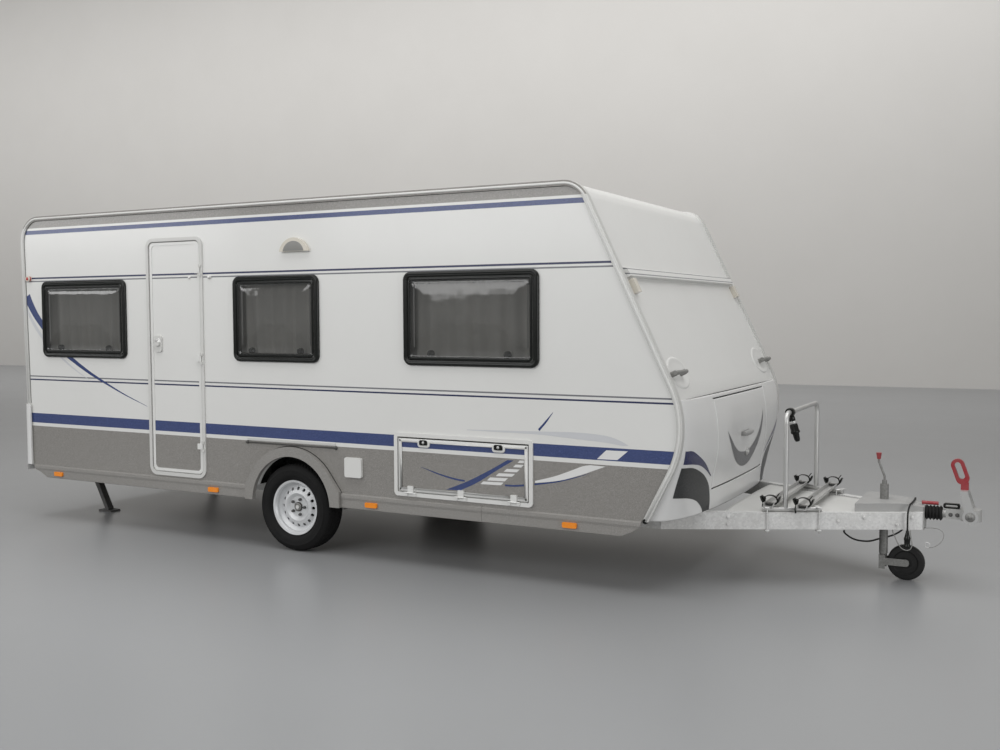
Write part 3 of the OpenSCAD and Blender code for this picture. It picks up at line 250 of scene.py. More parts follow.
# %% Effect groups
def effect(name, inputs, outputs):
    """An empty node group with named sockets; returns the group, its input node and its output node."""
    group = bpy.data.node_groups.new(name, "ShaderNodeTree")
    for label, kind, value in inputs:
        socket = group.interface.new_socket(label, in_out="INPUT", socket_type=kind)
        socket.default_value = value
    for label, kind in outputs:
        group.interface.new_socket(label, in_out="OUTPUT", socket_type=kind)
    return group, group.nodes.new("NodeGroupInput"), group.nodes.new("NodeGroupOutput")


def add_node(tree, kind, links=None, **values):
    """Adds a node, sets its values by name, and links or sets the named or numbered inputs."""
    node = tree.nodes.new(kind)
    for key, value in values.items():
        setattr(node, key, value)
    for key, source in (links or {}).items():
        if isinstance(source, bpy.types.NodeSocket):
            tree.links.new(source, node.inputs[key])
        else:
            node.inputs[key].default_value = source
    return node


def math_node(tree, operation, a, b=0.0):
    return add_node(tree, "ShaderNodeMath", {0: a, 1: b}, operation=operation).outputs[0]


def mix_colour(tree, factor, a, b):
    return add_node(tree, "ShaderNodeMix", {0: factor, 6: a, 7: b}, data_type="RGBA").outputs[2]


COLOUR, VALUE, VECTOR = "NodeSocketColor", "NodeSocketFloat", "NodeSocketVector"

soil, soil_in, soil_out = effect(
    "uneven_soil",
    [("Colour", COLOUR, (1, 1, 1, 1)), ("Soil", COLOUR, (0.25, 0.23, 0.2, 1)), ("Amount", VALUE, 0.1),
     ("Scale", VALUE, 3.0), ("Roughness", VALUE, 0.4)],
    [("Colour", COLOUR), ("Roughness", VALUE)])
where = add_node(soil, "ShaderNodeTexCoord").outputs["Object"]
clouds = add_node(soil, "ShaderNodeTexNoise", {"Vector": where, "Scale": soil_in.outputs["Scale"],
                                               "Detail": 6.0, "Roughness": 0.65}).outputs[0]
share = add_node(soil, "ShaderNodeMapRange", {0: clouds, 1: 0.35, 2: 0.8, 3: 0.0, 4: 1.0}).outputs[0]
share = math_node(soil, "MULTIPLY", share, soil_in.outputs["Amount"])
tint = mix_colour(soil, share, soil_in.outputs["Colour"], soil_in.outputs["Soil"])
soil.links.new(tint, soil_out.inputs["Colour"])
gloss = math_node(soil, "ADD", soil_in.outputs["Roughness"], math_node(soil, "MULTIPLY", share, 0.6))
soil.links.new(gloss, soil_out.inputs["Roughness"])

flake, flake_in, flake_out = effect(
    "mica_flake",
    [("Colour", COLOUR, (0.3, 0.3, 0.3, 1)), ("Light", COLOUR, (0.7, 0.7, 0.7, 1)),
     ("Dark", COLOUR, (0.1, 0.1, 0.1, 1)), ("Scale", VALUE, 260.0)],
    [("Colour", COLOUR)])
where = add_node(flake, "ShaderNodeTexCoord").outputs["Object"]
cells = add_node(flake, "ShaderNodeTexVoronoi",
                 {"Vector": where, "Scale": flake_in.outputs["Scale"]}).outputs["Color"]
draw = add_node(flake, "ShaderNodeSeparateColor", {0: cells})
bright = math_node(flake, "GREATER_THAN", draw.outputs[0], 0.8)
deep = math_node(flake, "GREATER_THAN", draw.outputs[1], 0.75)
tint = mix_colour(flake, math_node(flake, "MULTIPLY", deep, 0.6),
                  flake_in.outputs["Colour"], flake_in.outputs["Dark"])
tint = mix_colour(flake, math_node(flake, "MULTIPLY", bright, 0.55), tint, flake_in.outputs["Light"])
flake.links.new(tint, flake_out.inputs["Colour"])

spangle, spangle_in, spangle_out = effect(
    "zinc_spangle",
    [("Colour", COLOUR, (0.5, 0.5, 0.5, 1)), ("Scale", VALUE, 90.0), ("Contrast", VALUE, 0.25),
     ("Roughness", VALUE, 0.45)],
    [("Colour", COLOUR), ("Roughness", VALUE)])
where = add_node(spangle, "ShaderNodeTexCoord").outputs["Object"]
cells = add_node(spangle, "ShaderNodeTexVoronoi",
                 {"Vector": where, "Scale": spangle_in.outputs["Scale"]}).outputs["Color"]
draw = add_node(spangle, "ShaderNodeSeparateColor", {0: cells})
haze = add_node(spangle, "ShaderNodeTexNoise", {"Vector": where, "Scale": 7.0, "Detail": 5.0}).outputs[0]
level = math_node(spangle, "ADD", math_node(spangle, "MULTIPLY", draw.outputs[0], 0.6),
                  math_node(spangle, "MULTIPLY", haze, 0.8))
level = math_node(spangle, "MULTIPLY", math_node(spangle, "SUBTRACT", level, 0.7),
                  spangle_in.outputs["Contrast"])
level = math_node(spangle, "ADD", level, 1.0)
tint = add_node(spangle, "ShaderNodeVectorMath", {0: spangle_in.outputs["Colour"], 3: level},
                operation="SCALE").outputs[0]
spangle.links.new(tint, spangle_out.inputs["Colour"])
gloss = math_node(spangle, "ADD", spangle_in.outputs["Roughness"],
                  math_node(spangle, "MULTIPLY", draw.outputs[1], 0.18))
spangle.links.new(gloss, spangle_out.inputs["Roughness"])

grain, grain_in, grain_out = effect(
    "moulded_grain", [("Scale", VALUE, 400.0), ("Strength", VALUE, 0.1), ("Distance", VALUE, 0.0006)],
    [("Normal", VECTOR)])
where = add_node(grain, "ShaderNodeTexCoord").outputs["Object"]
bumps = add_node(grain, "ShaderNodeTexNoise",
                 {"Vector": where, "Scale": grain_in.outputs["Scale"], "Detail": 3.0}).outputs[0]
lifted = add_node(grain, "ShaderNodeBump",
                  {"Strength": grain_in.outputs["Strength"], "Distance": grain_in.outputs["Distance"],
                   "Height": bumps}).outputs[0]
grain.links.new(lifted, grain_out.inputs["Normal"])

band, band_in, band_out = effect(
    "height_band", [("Low", VALUE, 0.0), ("High", VALUE, 1.0)], [("Mask", VALUE)])
where = add_node(band, "ShaderNodeTexCoord").outputs["Object"]
height = add_node(band, "ShaderNodeSeparateXYZ", {0: where}).outputs[2]
inside = math_node(band, "MULTIPLY", math_node(band, "GREATER_THAN", height, band_in.outputs["Low"]),
                   math_node(band, "LESS_THAN", height, band_in.outputs["High"]))
band.links.new(inside, band_out.inputs["Mask"])

face, face_in, face_out = effect("wall_face", [("Half", VALUE, 1.15), ("Near", VALUE, 0.0012)],
                                 [("Mask", VALUE)])
where = add_node(face, "ShaderNodeTexCoord").outputs["Object"]
width = math_node(face, "ABSOLUTE", add_node(face, "ShaderNodeSeparateXYZ", {0: where}).outputs[1])
off = math_node(face, "ABSOLUTE", math_node(face, "SUBTRACT", width, face_in.outputs["Half"]))
face.links.new(math_node(face, "LESS_THAN", off, face_in.outputs["Near"]), face_out.inputs["Mask"])
print("effects:", [g.name for g in bpy.data.node_groups])


# %% [markdown]
# A finish is a Principled shader fed by those groups. Plain numbers that are the same all over stay on the
# shader's own sockets; only what changes over the surface comes in by a link.


# %% Finish helper
def use(tree, group, **values):
    """Places a node group in a material and sets or links its named inputs."""
    node = tree.nodes.new("ShaderNodeGroup")
    node.node_tree = group
    for key, value in values.items():
        if isinstance(value, bpy.types.NodeSocket):
            tree.links.new(value, node.inputs[key])
        else:
            node.inputs[key].default_value = value
    return node


def rgb(r, g, b):
    return (r, g, b, 1.0)


def finish(name, colour, roughness=0.4, metallic=0.0, soil_amount=0.08, soil_scale=2.5,
           soil_colour=(0.25, 0.23, 0.2), grain_scale=None, grain_strength=0.1, grain_depth=0.0006, coat=0.0,
           flakes=None, zinc=None, paint=None, specular=0.5):
    """A Principled finish: colour (or a paint function's colour), optional flake or spangle, dust, then grain
    as bump."""
    made = bpy.data.materials.new(name)
    made.use_nodes = True
    tree = made.node_tree
    shader = tree.nodes["Principled BSDF"]
    tint = rgb(*colour)
    if paint:
        tint = paint(tree, tint)
    if flakes:
        light, dark, scale = flakes
        tint = use(tree, flake, Colour=tint, Light=rgb(*light), Dark=rgb(*dark), Scale=scale).outputs[0]
    rough = roughness
    if zinc:
        scale, contrast = zinc
        metal = use(tree, spangle, Colour=tint, Scale=scale, Contrast=contrast, Roughness=roughness)
        tint, rough = metal.outputs[0], metal.outputs[1]
    worn = use(tree, soil, Colour=tint, Soil=rgb(*soil_colour), Amount=soil_amount, Scale=soil_scale,
               Roughness=rough)
    tree.links.new(worn.outputs["Colour"], shader.inputs["Base Color"])
    tree.links.new(worn.outputs["Roughness"], shader.inputs["Roughness"])
    shader.inputs["Metallic"].default_value = metallic
    shader.inputs["Specular IOR Level"].default_value = specular
    shader.inputs["Coat Weight"].default_value = coat
    shader.inputs["Coat Roughness"].default_value = 0.12
    if grain_scale:
        bumpy = use(tree, grain, Scale=grain_scale, Strength=grain_strength, Distance=grain_depth)
        tree.links.new(bumpy.outputs[0], shader.inputs["Normal"])
    return made


# %% [markdown]
# The side walls carry printed foil in bands at set heights: speckled grey along the foot and under the roof,
# blue bands with flake, and thin pin lines. Painting by height keeps the bands true across wall, door and
# hatch. A second mask keeps them to the wall's outer face.

# %% Painted sheets
WHITE = (0.72, 0.72, 0.70)
GREY_FOIL = (0.235, 0.225, 0.21)
BLUE_FOIL = (0.03, 0.052, 0.165)
PIN_BLUE = (0.014, 0.02, 0.075)
PIN_GREY = (0.17, 0.175, 0.19)
FLAKE_SCALE, WALL_HALF, RAIL_HALF = 520.0, 1.15, 1.16
# Columns: low and high edge in millimetres above the ground, colour, flake or not
SIDE_BANDS = [(440, 769, GREY_FOIL, True), (796, 874, BLUE_FOIL, True), (1145, 1156, PIN_BLUE, False),
              (1173, 1183, PIN_GREY, False), (1945, 1955, PIN_GREY, False), (1969, 1982, PIN_BLUE, False),
              (2330, 2362, BLUE_FOIL, True), (2380, 2455, GREY_FOIL, True)]
FRONT_BANDS = [(1934, 1941, PIN_GREY, False), (1904, 1911, PIN_GREY, False)]


def banded(bands, half=None):
    """A paint function: each band's colour, with flake where it has some, laid over the sheet by its mask."""
    def paint(tree, base):
        tint = base
        for low, high, colour, flaky in bands:
            mask = use(tree, band, Low=low / 1000, High=high / 1000).outputs[0]
            foil = rgb(*colour)
            if flaky:
                light = rgb(*(min(1.0, c * 1.7 + 0.04) for c in colour))
                dark = rgb(*(c * 0.55 for c in colour))
                foil = use(tree, flake, Colour=foil, Light=light, Dark=dark, Scale=FLAKE_SCALE).outputs[0]
            tint = mix_colour(tree, mask, tint, foil)
        return mix_colour(tree, use(tree, face, Half=half).outputs[0], base, tint) if half else tint
    return paint


side_sheet = finish("side_sheet", WHITE, 0.28, soil_amount=0.05, soil_scale=1.6,
                    paint=banded(SIDE_BANDS, WALL_HALF), grain_scale=55.0, grain_strength=0.05,
                    grain_depth=0.0008, coat=0.3)
front_sheet = finish("front_sheet", WHITE, 0.28, soil_amount=0.05, soil_scale=1.6, paint=banded(FRONT_BANDS),
                     coat=0.3)
plain_sheet = finish("plain_sheet", WHITE, 0.3, soil_amount=0.06, soil_scale=1.4, coat=0.2)
gelcoat = finish("gelcoat", (0.74, 0.74, 0.73), 0.2, soil_amount=0.05, soil_scale=2.0, coat=0.5)
white_plastic = finish("white_plastic", (0.70, 0.70, 0.68), 0.38, soil_amount=0.1, grain_scale=500.0,
                       grain_strength=0.06)
trim_plastic = finish("trim_plastic", (0.62, 0.62, 0.60), 0.4, soil_amount=0.15, grain_scale=500.0,
                      grain_strength=0.06)
grey_moulding = finish("grey_moulding", (0.25, 0.24, 0.225), 0.5, soil_amount=0.15, soil_scale=4.0,
                       flakes=((0.42, 0.41, 0.40), (0.16, 0.16, 0.15), 620.0), grain_scale=700.0,
                       grain_strength=0.15)
rail_alloy = finish("rail_alloy", (0.60, 0.60, 0.59), 0.34, metallic=0.65, soil_amount=0.2, soil_scale=5.0)
rail_white = finish("rail_white", (0.62, 0.62, 0.60), 0.36, metallic=0.15, soil_amount=0.18, soil_scale=5.0,
                    paint=banded([(2380, 2600, GREY_FOIL, True)], RAIL_HALF))
grey_plastic = finish("grey_plastic", (0.22, 0.22, 0.21), 0.4, soil_amount=0.2, soil_scale=8.0,
                      grain_scale=500.0)
dark_plastic = finish("dark_plastic", (0.045, 0.045, 0.043), 0.42, soil_amount=0.2, soil_scale=9.0)
worn_zinc = finish("worn_zinc", (0.27, 0.27, 0.26), 0.42, metallic=0.5, soil_amount=0.35, soil_scale=16.0,
                   soil_colour=(0.09, 0.08, 0.07), zinc=(120.0, 0.4))
zinc_steel = finish("zinc_steel", (0.70, 0.70, 0.69), 0.46, metallic=0.3, soil_amount=0.2, soil_scale=6.0,
                    zinc=(85.0, 0.28))
cast_grey = finish("cast_grey", (0.47, 0.47, 0.46), 0.48, metallic=0.35, soil_amount=0.3, soil_scale=14.0,
                   grain_scale=300.0, grain_strength=0.2)
silver_paint = finish("silver_paint", (0.66, 0.67, 0.68), 0.36, metallic=0.25, soil_amount=0.15,
                      soil_scale=9.0)
# Brake drums: partly the iron's own dark colour with rust, partly painted shade: they are made near black so
# the rim's vent holes read as the shaded inside of the wheel
drum_iron_painted_shade = finish("drum_iron_painted_shade", (0.03, 0.028, 0.026), 0.75, soil_amount=0.25, soil_scale=20.0,
                   soil_colour=(0.1, 0.05, 0.03))
dark_steel = finish("dark_steel", (0.10, 0.10, 0.10), 0.5, metallic=0.4, soil_amount=0.25, soil_scale=12.0,
                    zinc=(110.0, 0.3))
cover_grey = finish("cover_grey", (0.34, 0.34, 0.335), 0.45, soil_amount=0.2, soil_scale=7.0,
                    grain_scale=420.0)
ply_board = finish("ply_board", (0.30, 0.24, 0.17), 0.7, soil_amount=0.4)
black_plastic = finish("black_plastic", (0.006, 0.007, 0.006), 0.22, soil_amount=0.03, soil_scale=5.0,
                       specular=0.3, soil_colour=(0.1, 0.1, 0.09), grain_scale=600.0, grain_strength=0.06)
black_rubber = finish("black_rubber", (0.010, 0.010, 0.010), 0.55, soil_amount=0.12, soil_scale=9.0,
                      specular=0.3, soil_colour=(0.1, 0.095, 0.09), grain_scale=500.0, grain_strength=0.15)
tyre_rubber = finish("tyre_rubber", (0.006, 0.006, 0.0062), 0.7, soil_amount=0.07, soil_scale=7.0,
                     specular=0.22, soil_colour=(0.09, 0.085, 0.08), grain_scale=350.0, grain_strength=0.2)
amber_lens = finish("amber_lens", (0.88, 0.26, 0.005), 0.2, soil_amount=0.05, coat=0.2, grain_scale=120.0,
                    grain_strength=0.25, grain_depth=0.002)
red_lens = finish("red_lens", (0.40, 0.01, 0.012), 0.15, soil_amount=0.1, coat=0.6, grain_scale=120.0,
                  grain_strength=0.25, grain_depth=0.002)
pale_lens = finish("pale_lens", (0.66, 0.62, 0.54), 0.2, soil_amount=0.2, coat=0.5)
red_plastic = finish("red_plastic", (0.30, 0.022, 0.03), 0.36, soil_amount=0.25, soil_scale=20.0,
                     grain_scale=400.0)
blue_decal = finish("blue_decal", BLUE_FOIL, 0.25, soil_amount=0.04, coat=0.4,
                    flakes=((0.06, 0.10, 0.26), (0.012, 0.02, 0.08), FLAKE_SCALE))
navy_decal = finish("navy_decal", (0.018, 0.021, 0.088), 0.25, soil_amount=0.04, coat=0.4,
                    flakes=((0.04, 0.05, 0.16), (0.008, 0.01, 0.05), FLAKE_SCALE))
ghost_decal = finish("ghost_decal", (0.58, 0.59, 0.61), 0.28, soil_amount=0.03, coat=0.3)
white_decal = finish("white_decal", (0.74, 0.74, 0.73), 0.25, soil_amount=0.04, coat=0.3)
dark_decal = finish("dark_decal", (0.040, 0.042, 0.042), 0.32, soil_amount=0.05, specular=0.35,
                    flakes=((0.085, 0.085, 0.09), (0.02, 0.02, 0.022), 300.0))
crescent_decal = finish("crescent_decal", (0.12, 0.12, 0.125), 0.3, soil_amount=0.06, coat=0.3,
                        flakes=((0.2, 0.2, 0.205), (0.06, 0.06, 0.062), 300.0))


def glass_finish(name, colour, roughness, alpha):
    """Tinted clear plastic: a dark glossy skin that covers by its alpha and lets the rest of the light
    through to what hangs behind."""
    made = bpy.data.materials.new(name)
    made.use_nodes = True
    shader = made.node_tree.nodes["Principled BSDF"]
    worn = use(made.node_tree, soil, Colour=rgb(*colour), Amount=0.1, Scale=4.0, Roughness=roughness)
    made.node_tree.links.new(worn.outputs["Colour"], shader.inputs["Base Color"])
    made.node_tree.links.new(worn.outputs["Roughness"], shader.inputs["Roughness"])
    shader.inputs["Alpha"].default_value = alpha
    shader.inputs["IOR"].default_value = 1.6
    shader.inputs["Coat Weight"].default_value = 1.0
    shader.inputs["Coat Roughness"].default_value = 0.02
    bumpy = use(made.node_tree, grain, Scale=2.2, Strength=0.25, Distance=0.03)
    made.node_tree.links.new(bumpy.outputs[0], shader.inputs["Normal"])
    return made


tinted_acrylic = glass_finish("tinted_acrylic", (0.014, 0.015, 0.014), 0.03, 0.64)
clear_acrylic = glass_finish("clear_acrylic", (0.55, 0.56, 0.56), 0.12, 0.5)
curtain_cloth = finish("curtain_cloth", (0.74, 0.73, 0.69), 0.9, soil_amount=0.05, grain_scale=900.0,
                       grain_strength=0.3)
print("finishes:", len(bpy.data.materials))

# %% [markdown]
# The cords come first. The supply cable leaves a gland under the near drawbar member, sags under the drawbar
# behind the jockey wheel, climbs the far member and hangs over the nose cover to its plug. The breakaway wire
# loops from the end plate to a hook.

# %% Cords
SUPPLY_MM = [(3600, -285, 335), (3600, -285, 321), (3616, -273, 302), (3640, -250, 281), (3668, -212, 264),
             (3694, -164, 252), (3716, -110, 243), (3734, -52, 238), (3750, 6, 236), (3772, 58, 236),
             (3802, 106, 239), (3834, 146, 248), (3866, 180, 266), (3894, 203, 300), (3914, 211, 348),
             (3931, 207, 402), (3946, 189, 453), (3955, 160, 480), (3960, 125, 498), (3962, 80, 499),
             (3963, 28, 499), (3963, -28, 499), (3962, -80, 499), (3960, -125, 498), (3956, -160, 480),
             (3953, -177, 453), (3952, -180, 418), (3952, -180, 382), (3952, -180, 345)]
BREAKAWAY_MM = [(4033.5, -50, 347), (4050, -50, 347), (4078, -51, 349), (4112, -56, 347), (4138, -68, 336),
                (4148, -82, 316), (4144, -95, 292), (4130, -105, 270), (4108, -112, 252), (4085, -116, 242),
                (4068, -117, 240)]
HOOK_MM = [(4068, -117, 240), (4060, -118, 239), (4050, -120, 244), (4045, -121, 256), (4050, -122, 268),
           (4062, -121, 270), (4072, -119, 262), (4074, -118, 250), (4070, -117, 243)]
SUPPLY_THICK, WIRE_THICK, HOOK_R = 0.011, 0.004, 0.0026


def path_length(path):
    return float(np.linalg.norm(np.diff(path, axis=0), axis=1).sum())


def free_cord(name, route_mm, diameter, material, node):
    """A cord as a mesh tube: a circle carried along the smooth curve through the route's points."""
    path = smooth_route(route_mm, 6)
    made = piece(name, tube(path, diameter / 2, 14, up=(0.3, 0.2, 0.93)), "caravan", material)
    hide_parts(node)
    print(name, round(path_length(path), 3), "m")


plug_x, plug_y, plug_top = SUPPLY_MM[-1]
plug_body = mm((0, -105), (17, -105), (19, -102), (19, -92), (17.4, -90), (17.4, -62), (19, -60), (19, -44),
               (16, -38), (14, -30), (14, -27), (12.5, -26), (12.5, -22), (11.5, -21), (11.5, -17),
               (10.4, -16), (10.4, -12), (9.3, -11), (9.3, -6), (7.4, 0), (0, 0))
supply_plug = turned("supply_plug_body", plug_body, [(place(plug_x, plug_y, plug_top), (0, 0, 1))], "caravan",
                     black_plastic, 40)
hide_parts("supply_plug")
wire_hook = piece("breakaway_hook", tube(smooth_route(HOOK_MM, 6), HOOK_R, 10, up=(0, 1, 0.1)), "caravan",
                  zinc_steel)
free_cord("supply_cord", SUPPLY_MM, SUPPLY_THICK, black_rubber,
          "supply_cable")
free_cord("breakaway_cord", BREAKAWAY_MM, WIRE_THICK, worn_zinc,
          "breakaway_cable")

# %% [markdown]
# Most solids already have their true shape, so they only take a finish. A table from finish to nodes does it.

# %% Finishes on the solids
NODES_OF = [
    (side_sheet, "side_wall_right side_wall_left entrance_door service_lid cassette_lid"),
    (plain_sheet, "roof_panel rear_wall"), (front_sheet, "front_panel"), (ply_board, "floor_panel"),
    (gelcoat, "front_locker locker_lid rear_bumper"), (rail_white, "edge_rails"),
    (grey_plastic, "grab_handles"),
    (pale_lens, "marker_lamps awning_lamp"), (amber_lens, "side_markers"), (red_lens, "rear_lamps"),
    (tinted_acrylic, "window_panes"), (clear_acrylic, "roof_light_domes"), (curtain_cloth, "curtains"),
    (trim_plastic, "door_frame door_handle"), (grey_moulding, "side_skirts wheel_arches"),
    (white_plastic, "hatch_frames power_inlet fridge_vents roof_light_frames"),
    (black_plastic, "window_frames wheel_boxes coupling_handle rack_holders supply_plug service_locks"),
    (zinc_steel, "chassis_rails drawbar axle breakaway_cable"), (dark_steel, "steadies"),
    (worn_zinc, "jockey_tube jockey_fork"), (cover_grey, "drawbar_cover lid_handle"),
    (cast_grey, "overrun_housing coupling_head"), (black_rubber, "bellows supply_cable jockey_wheel"),
    (rail_alloy, "hitch_levers rack_frame rack_rails"), (red_plastic, "red_grips"),
    (silver_paint, "rim_right rim_left"), (tyre_rubber, "tyre_right tyre_left"),
    (drum_iron_painted_shade, "brake_drum_right brake_drum_left")]
for chosen, names in NODES_OF:
    for node_name in names.split():
        slots = nodes[node_name].data.materials
        slots.clear()
        slots.append(chosen)
print("dressed:", sum(len(names.split()) for _, names in NODES_OF), "of", len(nodes))

# %% [markdown]
# The moulded front bows out in plan, more and more towards its foot. The solid is made of flat facets, so the
# scene works the same surface out finely: x as a function of y across and z up.

# %% Moulded front
NOSE_Z, NOSE_R, NOSE_C = 1000.0, 580.0, 2259.0
FRONT_DEG, UNDER_DEG, REAR_DEG = 25.6, 26.6, 1.2
FRONT_SLOPE, UNDER_SLOPE = math.radians(FRONT_DEG), math.radians(UNDER_DEG)
INNER_Y, LEDGE_Z, FOOT_Z = 1118.0, 1165.0, 450.0
BOW_TOP, BOW_FOOT, BOW_POWER = 44.0, 236.0, 2.6
LID_HALF, LID_LOW, LID_HIGH, LID_GAP = 596.0, 583.0, 1140.0, 6.0
HOLE_ROLL, LID_ROLL, SHELL_THICK = 6.0, 7.0, 0.02


def nose_x(z):
    """Side profile at height z: the nose arc, with straight slopes tangent to it above and below."""
    z = np.asarray(z, float)
    arc = NOSE_C + np.sqrt(np.maximum(NOSE_R ** 2 - (z - NOSE_Z) ** 2, 0))
    upper = NOSE_C + (NOSE_R - (z - NOSE_Z) * math.sin(FRONT_SLOPE)) / math.cos(FRONT_SLOPE)
    lower = NOSE_C + (NOSE_R + (z - NOSE_Z) * math.sin(UNDER_SLOPE)) / math.cos(UNDER_SLOPE)
    arc = np.where(z > NOSE_Z + NOSE_R * math.sin(FRONT_SLOPE), upper, arc)
    return np.where(z < NOSE_Z - NOSE_R * math.sin(UNDER_SLOPE), lower, arc)


def front_x(y, z):
    """Moulded front: the side profile plus a bow across the width, a superellipse that deepens as the drop
    squared."""
    drop = (LEDGE_Z - np.asarray(z, float)) / (LEDGE_Z - FOOT_Z)
    bow = BOW_TOP + (BOW_FOOT - BOW_TOP) * drop ** 2
    return nose_x(z) + bow * (1 - np.minimum(1, np.abs(y) / INNER_Y) ** BOW_POWER) ** (1 / BOW_POWER)


def rolled(points, low, high, radius):
    """How far a sheet's edge rolls in: a quarter circle over the last radius before either end."""
    near = np.minimum(points - low, high - points)
    t = np.clip(1 - near / radius, 0, 1)
    return radius * (1 - np.sqrt(np.maximum(1 - t ** 2, 0)))


edge_steps = np.array([0, 0.6, 1.6, 3.2, 5.4, 8.0])
hole_y, hole_low, hole_high = LID_HALF + LID_GAP, LID_LOW - LID_GAP, LID_HIGH + LID_GAP
half_y = np.concatenate([np.linspace(0, hole_y - 8, 30), hole_y - edge_steps[4::-1], hole_y + edge_steps[1:],
                         INNER_Y * np.sin(np.linspace(math.asin((hole_y + 20) / INNER_Y), math.pi / 2, 40))])
shell_y = np.concatenate([-half_y[:0:-1], half_y])
shell_z = np.concatenate([np.linspace(FOOT_Z, hole_low - 10, 16), hole_low - edge_steps[::-1],
                          np.linspace(hole_low, hole_high, 40)[1:-1], hole_high + edge_steps,
                          np.linspace(hole_high + 11, LEDGE_Z, 5)])
ledge = np.linspace(0, 1, 6)[1:]
yy, zz = np.meshgrid(shell_y, np.concatenate([shell_z, np.full(len(ledge), LEDGE_Z)]), indexing="xy")
outside = np.maximum(np.maximum(np.abs(yy) - hole_y, hole_low - zz), zz - hole_high)
roll = HOLE_ROLL * (1 - np.sqrt(np.maximum(1 - np.clip(1 - outside / HOLE_ROLL, 0, 1) ** 2, 0)))
across = front_x(yy, zz) - roll
back = np.concatenate([np.zeros(len(shell_z)), ledge])[:, None]
across = across * (1 - back) + (nose_x(LEDGE_Z) - 6) * back
front_points, front_quads = surface(place(across, yy, zz))
middle = front_points[front_quads].mean(1)
open_hole = ((np.abs(middle[:, 1]) * 1000 < hole_y) & (middle[:, 2] * 1000 > hole_low)
             & (middle[:, 2] * 1000 < hole_high))
front_shell = piece("front_moulding", (front_points, front_quads[~open_hole]), "caravan",
                    gelcoat, facing=(1, 0, 0))
add_modifier(front_shell, "SOLIDIFY", thickness=SHELL_THICK, offset=-1.0)
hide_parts("front_locker")

lid_y = np.concatenate([-LID_HALF + edge_steps, np.linspace(-LID_HALF + 16, LID_HALF - 16, 60),
                        LID_HALF - edge_steps[::-1]])
lid_z = np.concatenate([LID_LOW + edge_steps, np.linspace(LID_LOW + 16, LID_HIGH - 16, 44),
                        LID_HIGH - edge_steps[::-1]])
yy, zz = np.meshgrid(lid_y, lid_z, indexing="xy")
roll = np.maximum(rolled(yy, -LID_HALF, LID_HALF, LID_ROLL), rolled(zz, LID_LOW, LID_HIGH, LID_ROLL))
lid_shell = piece("locker_lid_shell", surface(place(front_x(yy, zz) - roll, yy, zz)), "locker_lid",
                  gelcoat, facing=(1, 0, 0))
add_modifier(lid_shell, "SOLIDIFY", thickness=SHELL_THICK, offset=-1.0)
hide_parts("locker_lid")
print("front:", len(front_shell.data.polygons), "lid:", len(lid_shell.data.polygons))

# %% [markdown]
# Windows, hatches and the door all sit in a wall's own frame: u along the wall, z up and so far out of it.
# The rear wall leans back by 1.2 degrees, so its face is a function of height.

# %% Wall frames
REAR_X, REAR_Z, REAR_LEAN = -2751.0, 1130.0, math.tan(math.radians(REAR_DEG))
OUTWARD = {"right": (0, -1, 0), "left": (0, 1, 0), "rear": (-1, 0, 0)}


def on_wall(side, u, out, z):
    """A point of a wall's frame: its face moved outwards by out; u runs along x on the sides and along y at
    the rear."""
    u, out, z = np.broadcast_arrays(np.asarray(u, float), np.asarray(out, float), np.asarray(z, float))
    if side == "rear":
        return place(REAR_X - (z - REAR_Z) * REAR_LEAN - out, u, z)
    return place(u, (HALF_W + out) * (-1 if side == "right" else 1), z)


def rounded_path(u0, u1, z0, z1, radius, per_corner=10):
    """A closed rounded rectangle: four quarter circles joined by straight runs; returns its points and inward
    normals."""
    a = np.linspace(0, np.pi / 2, per_corner)
    turn = np.concatenate([a, a + np.pi / 2, a + np.pi, a + 1.5 * np.pi])
    cu = np.repeat([u1 - radius, u0 + radius, u0 + radius, u1 - radius], per_corner)
    cz = np.repeat([z1 - radius, z1 - radius, z0 + radius, z0 + radius], per_corner)
    out = np.stack([np.cos(turn), np.sin(turn)], -1)
    return np.stack([cu, cz], -1) + radius * out, -out


def wall_ring(side, rectangle, radius, profile):
    """A frame on a wall: each profile point (inset, out) goes round the rounded rectangle, inset along its
    inward normal."""
    path, inward = rounded_path(*rectangle, radius)
    profile = np.asarray(profile, float)
    flat = path[:, None] + profile[None, :, :1] * inward[:, None]
    return surface(on_wall(side, flat[..., 0], profile[None, :, 1], flat[..., 1]), True, True)


# %% [markdown]
# The windows are bonded acrylic in a rubber frame with a soft rounded section. A swept ring shows that
# section better than the solid's square one. The same ring, made pale, gives the hatch lids their moulded
# rim.

# %% Window rubbers
WIN_LOW, WIN_HIGH, WIN_R = 1338.0, 1948.0, 55.0
WINDOWS = [("right", -2544, -1597, WIN_LOW), ("right", -512, 255, WIN_LOW), ("right", 950, 1936, WIN_LOW),
           ("left", -2544, -1597, WIN_LOW), ("left", -1000, -560, 1468.0), ("left", 950, 1936, WIN_LOW),
           ("rear", -560, 560, WIN_LOW)]
RUBBER = [(0, -1), (0, 9), (1, 14), (4, 18.5), (9, 21.4), (14, 22), (21, 21.4), (22.5, 20.2), (24, 20.2),
          (25.5, 20.8), (31, 20), (34.5, 17.5), (36, 14), (36, -30), (6, -30), (6, -1)]
rubber_ring = join([wall_ring(side, (u0, u1, low, WIN_HIGH), WIN_R, RUBBER) for side, u0, u1, low in WINDOWS])
rubbers = piece("window_rubbers", rubber_ring, "caravan", black_plastic)
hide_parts("window_frames")
add_modifier(rubbers, "WEIGHTED_NORMAL")
print("window rubbers:", len(rubbers.data.polygons))

# %% [markdown]
# Each window has a pleated curtain just behind the wall. Pleats are waves across the width whose height and
# place wander a little, tighter at the gathered head. The flat size is the wave's own length by the drop.

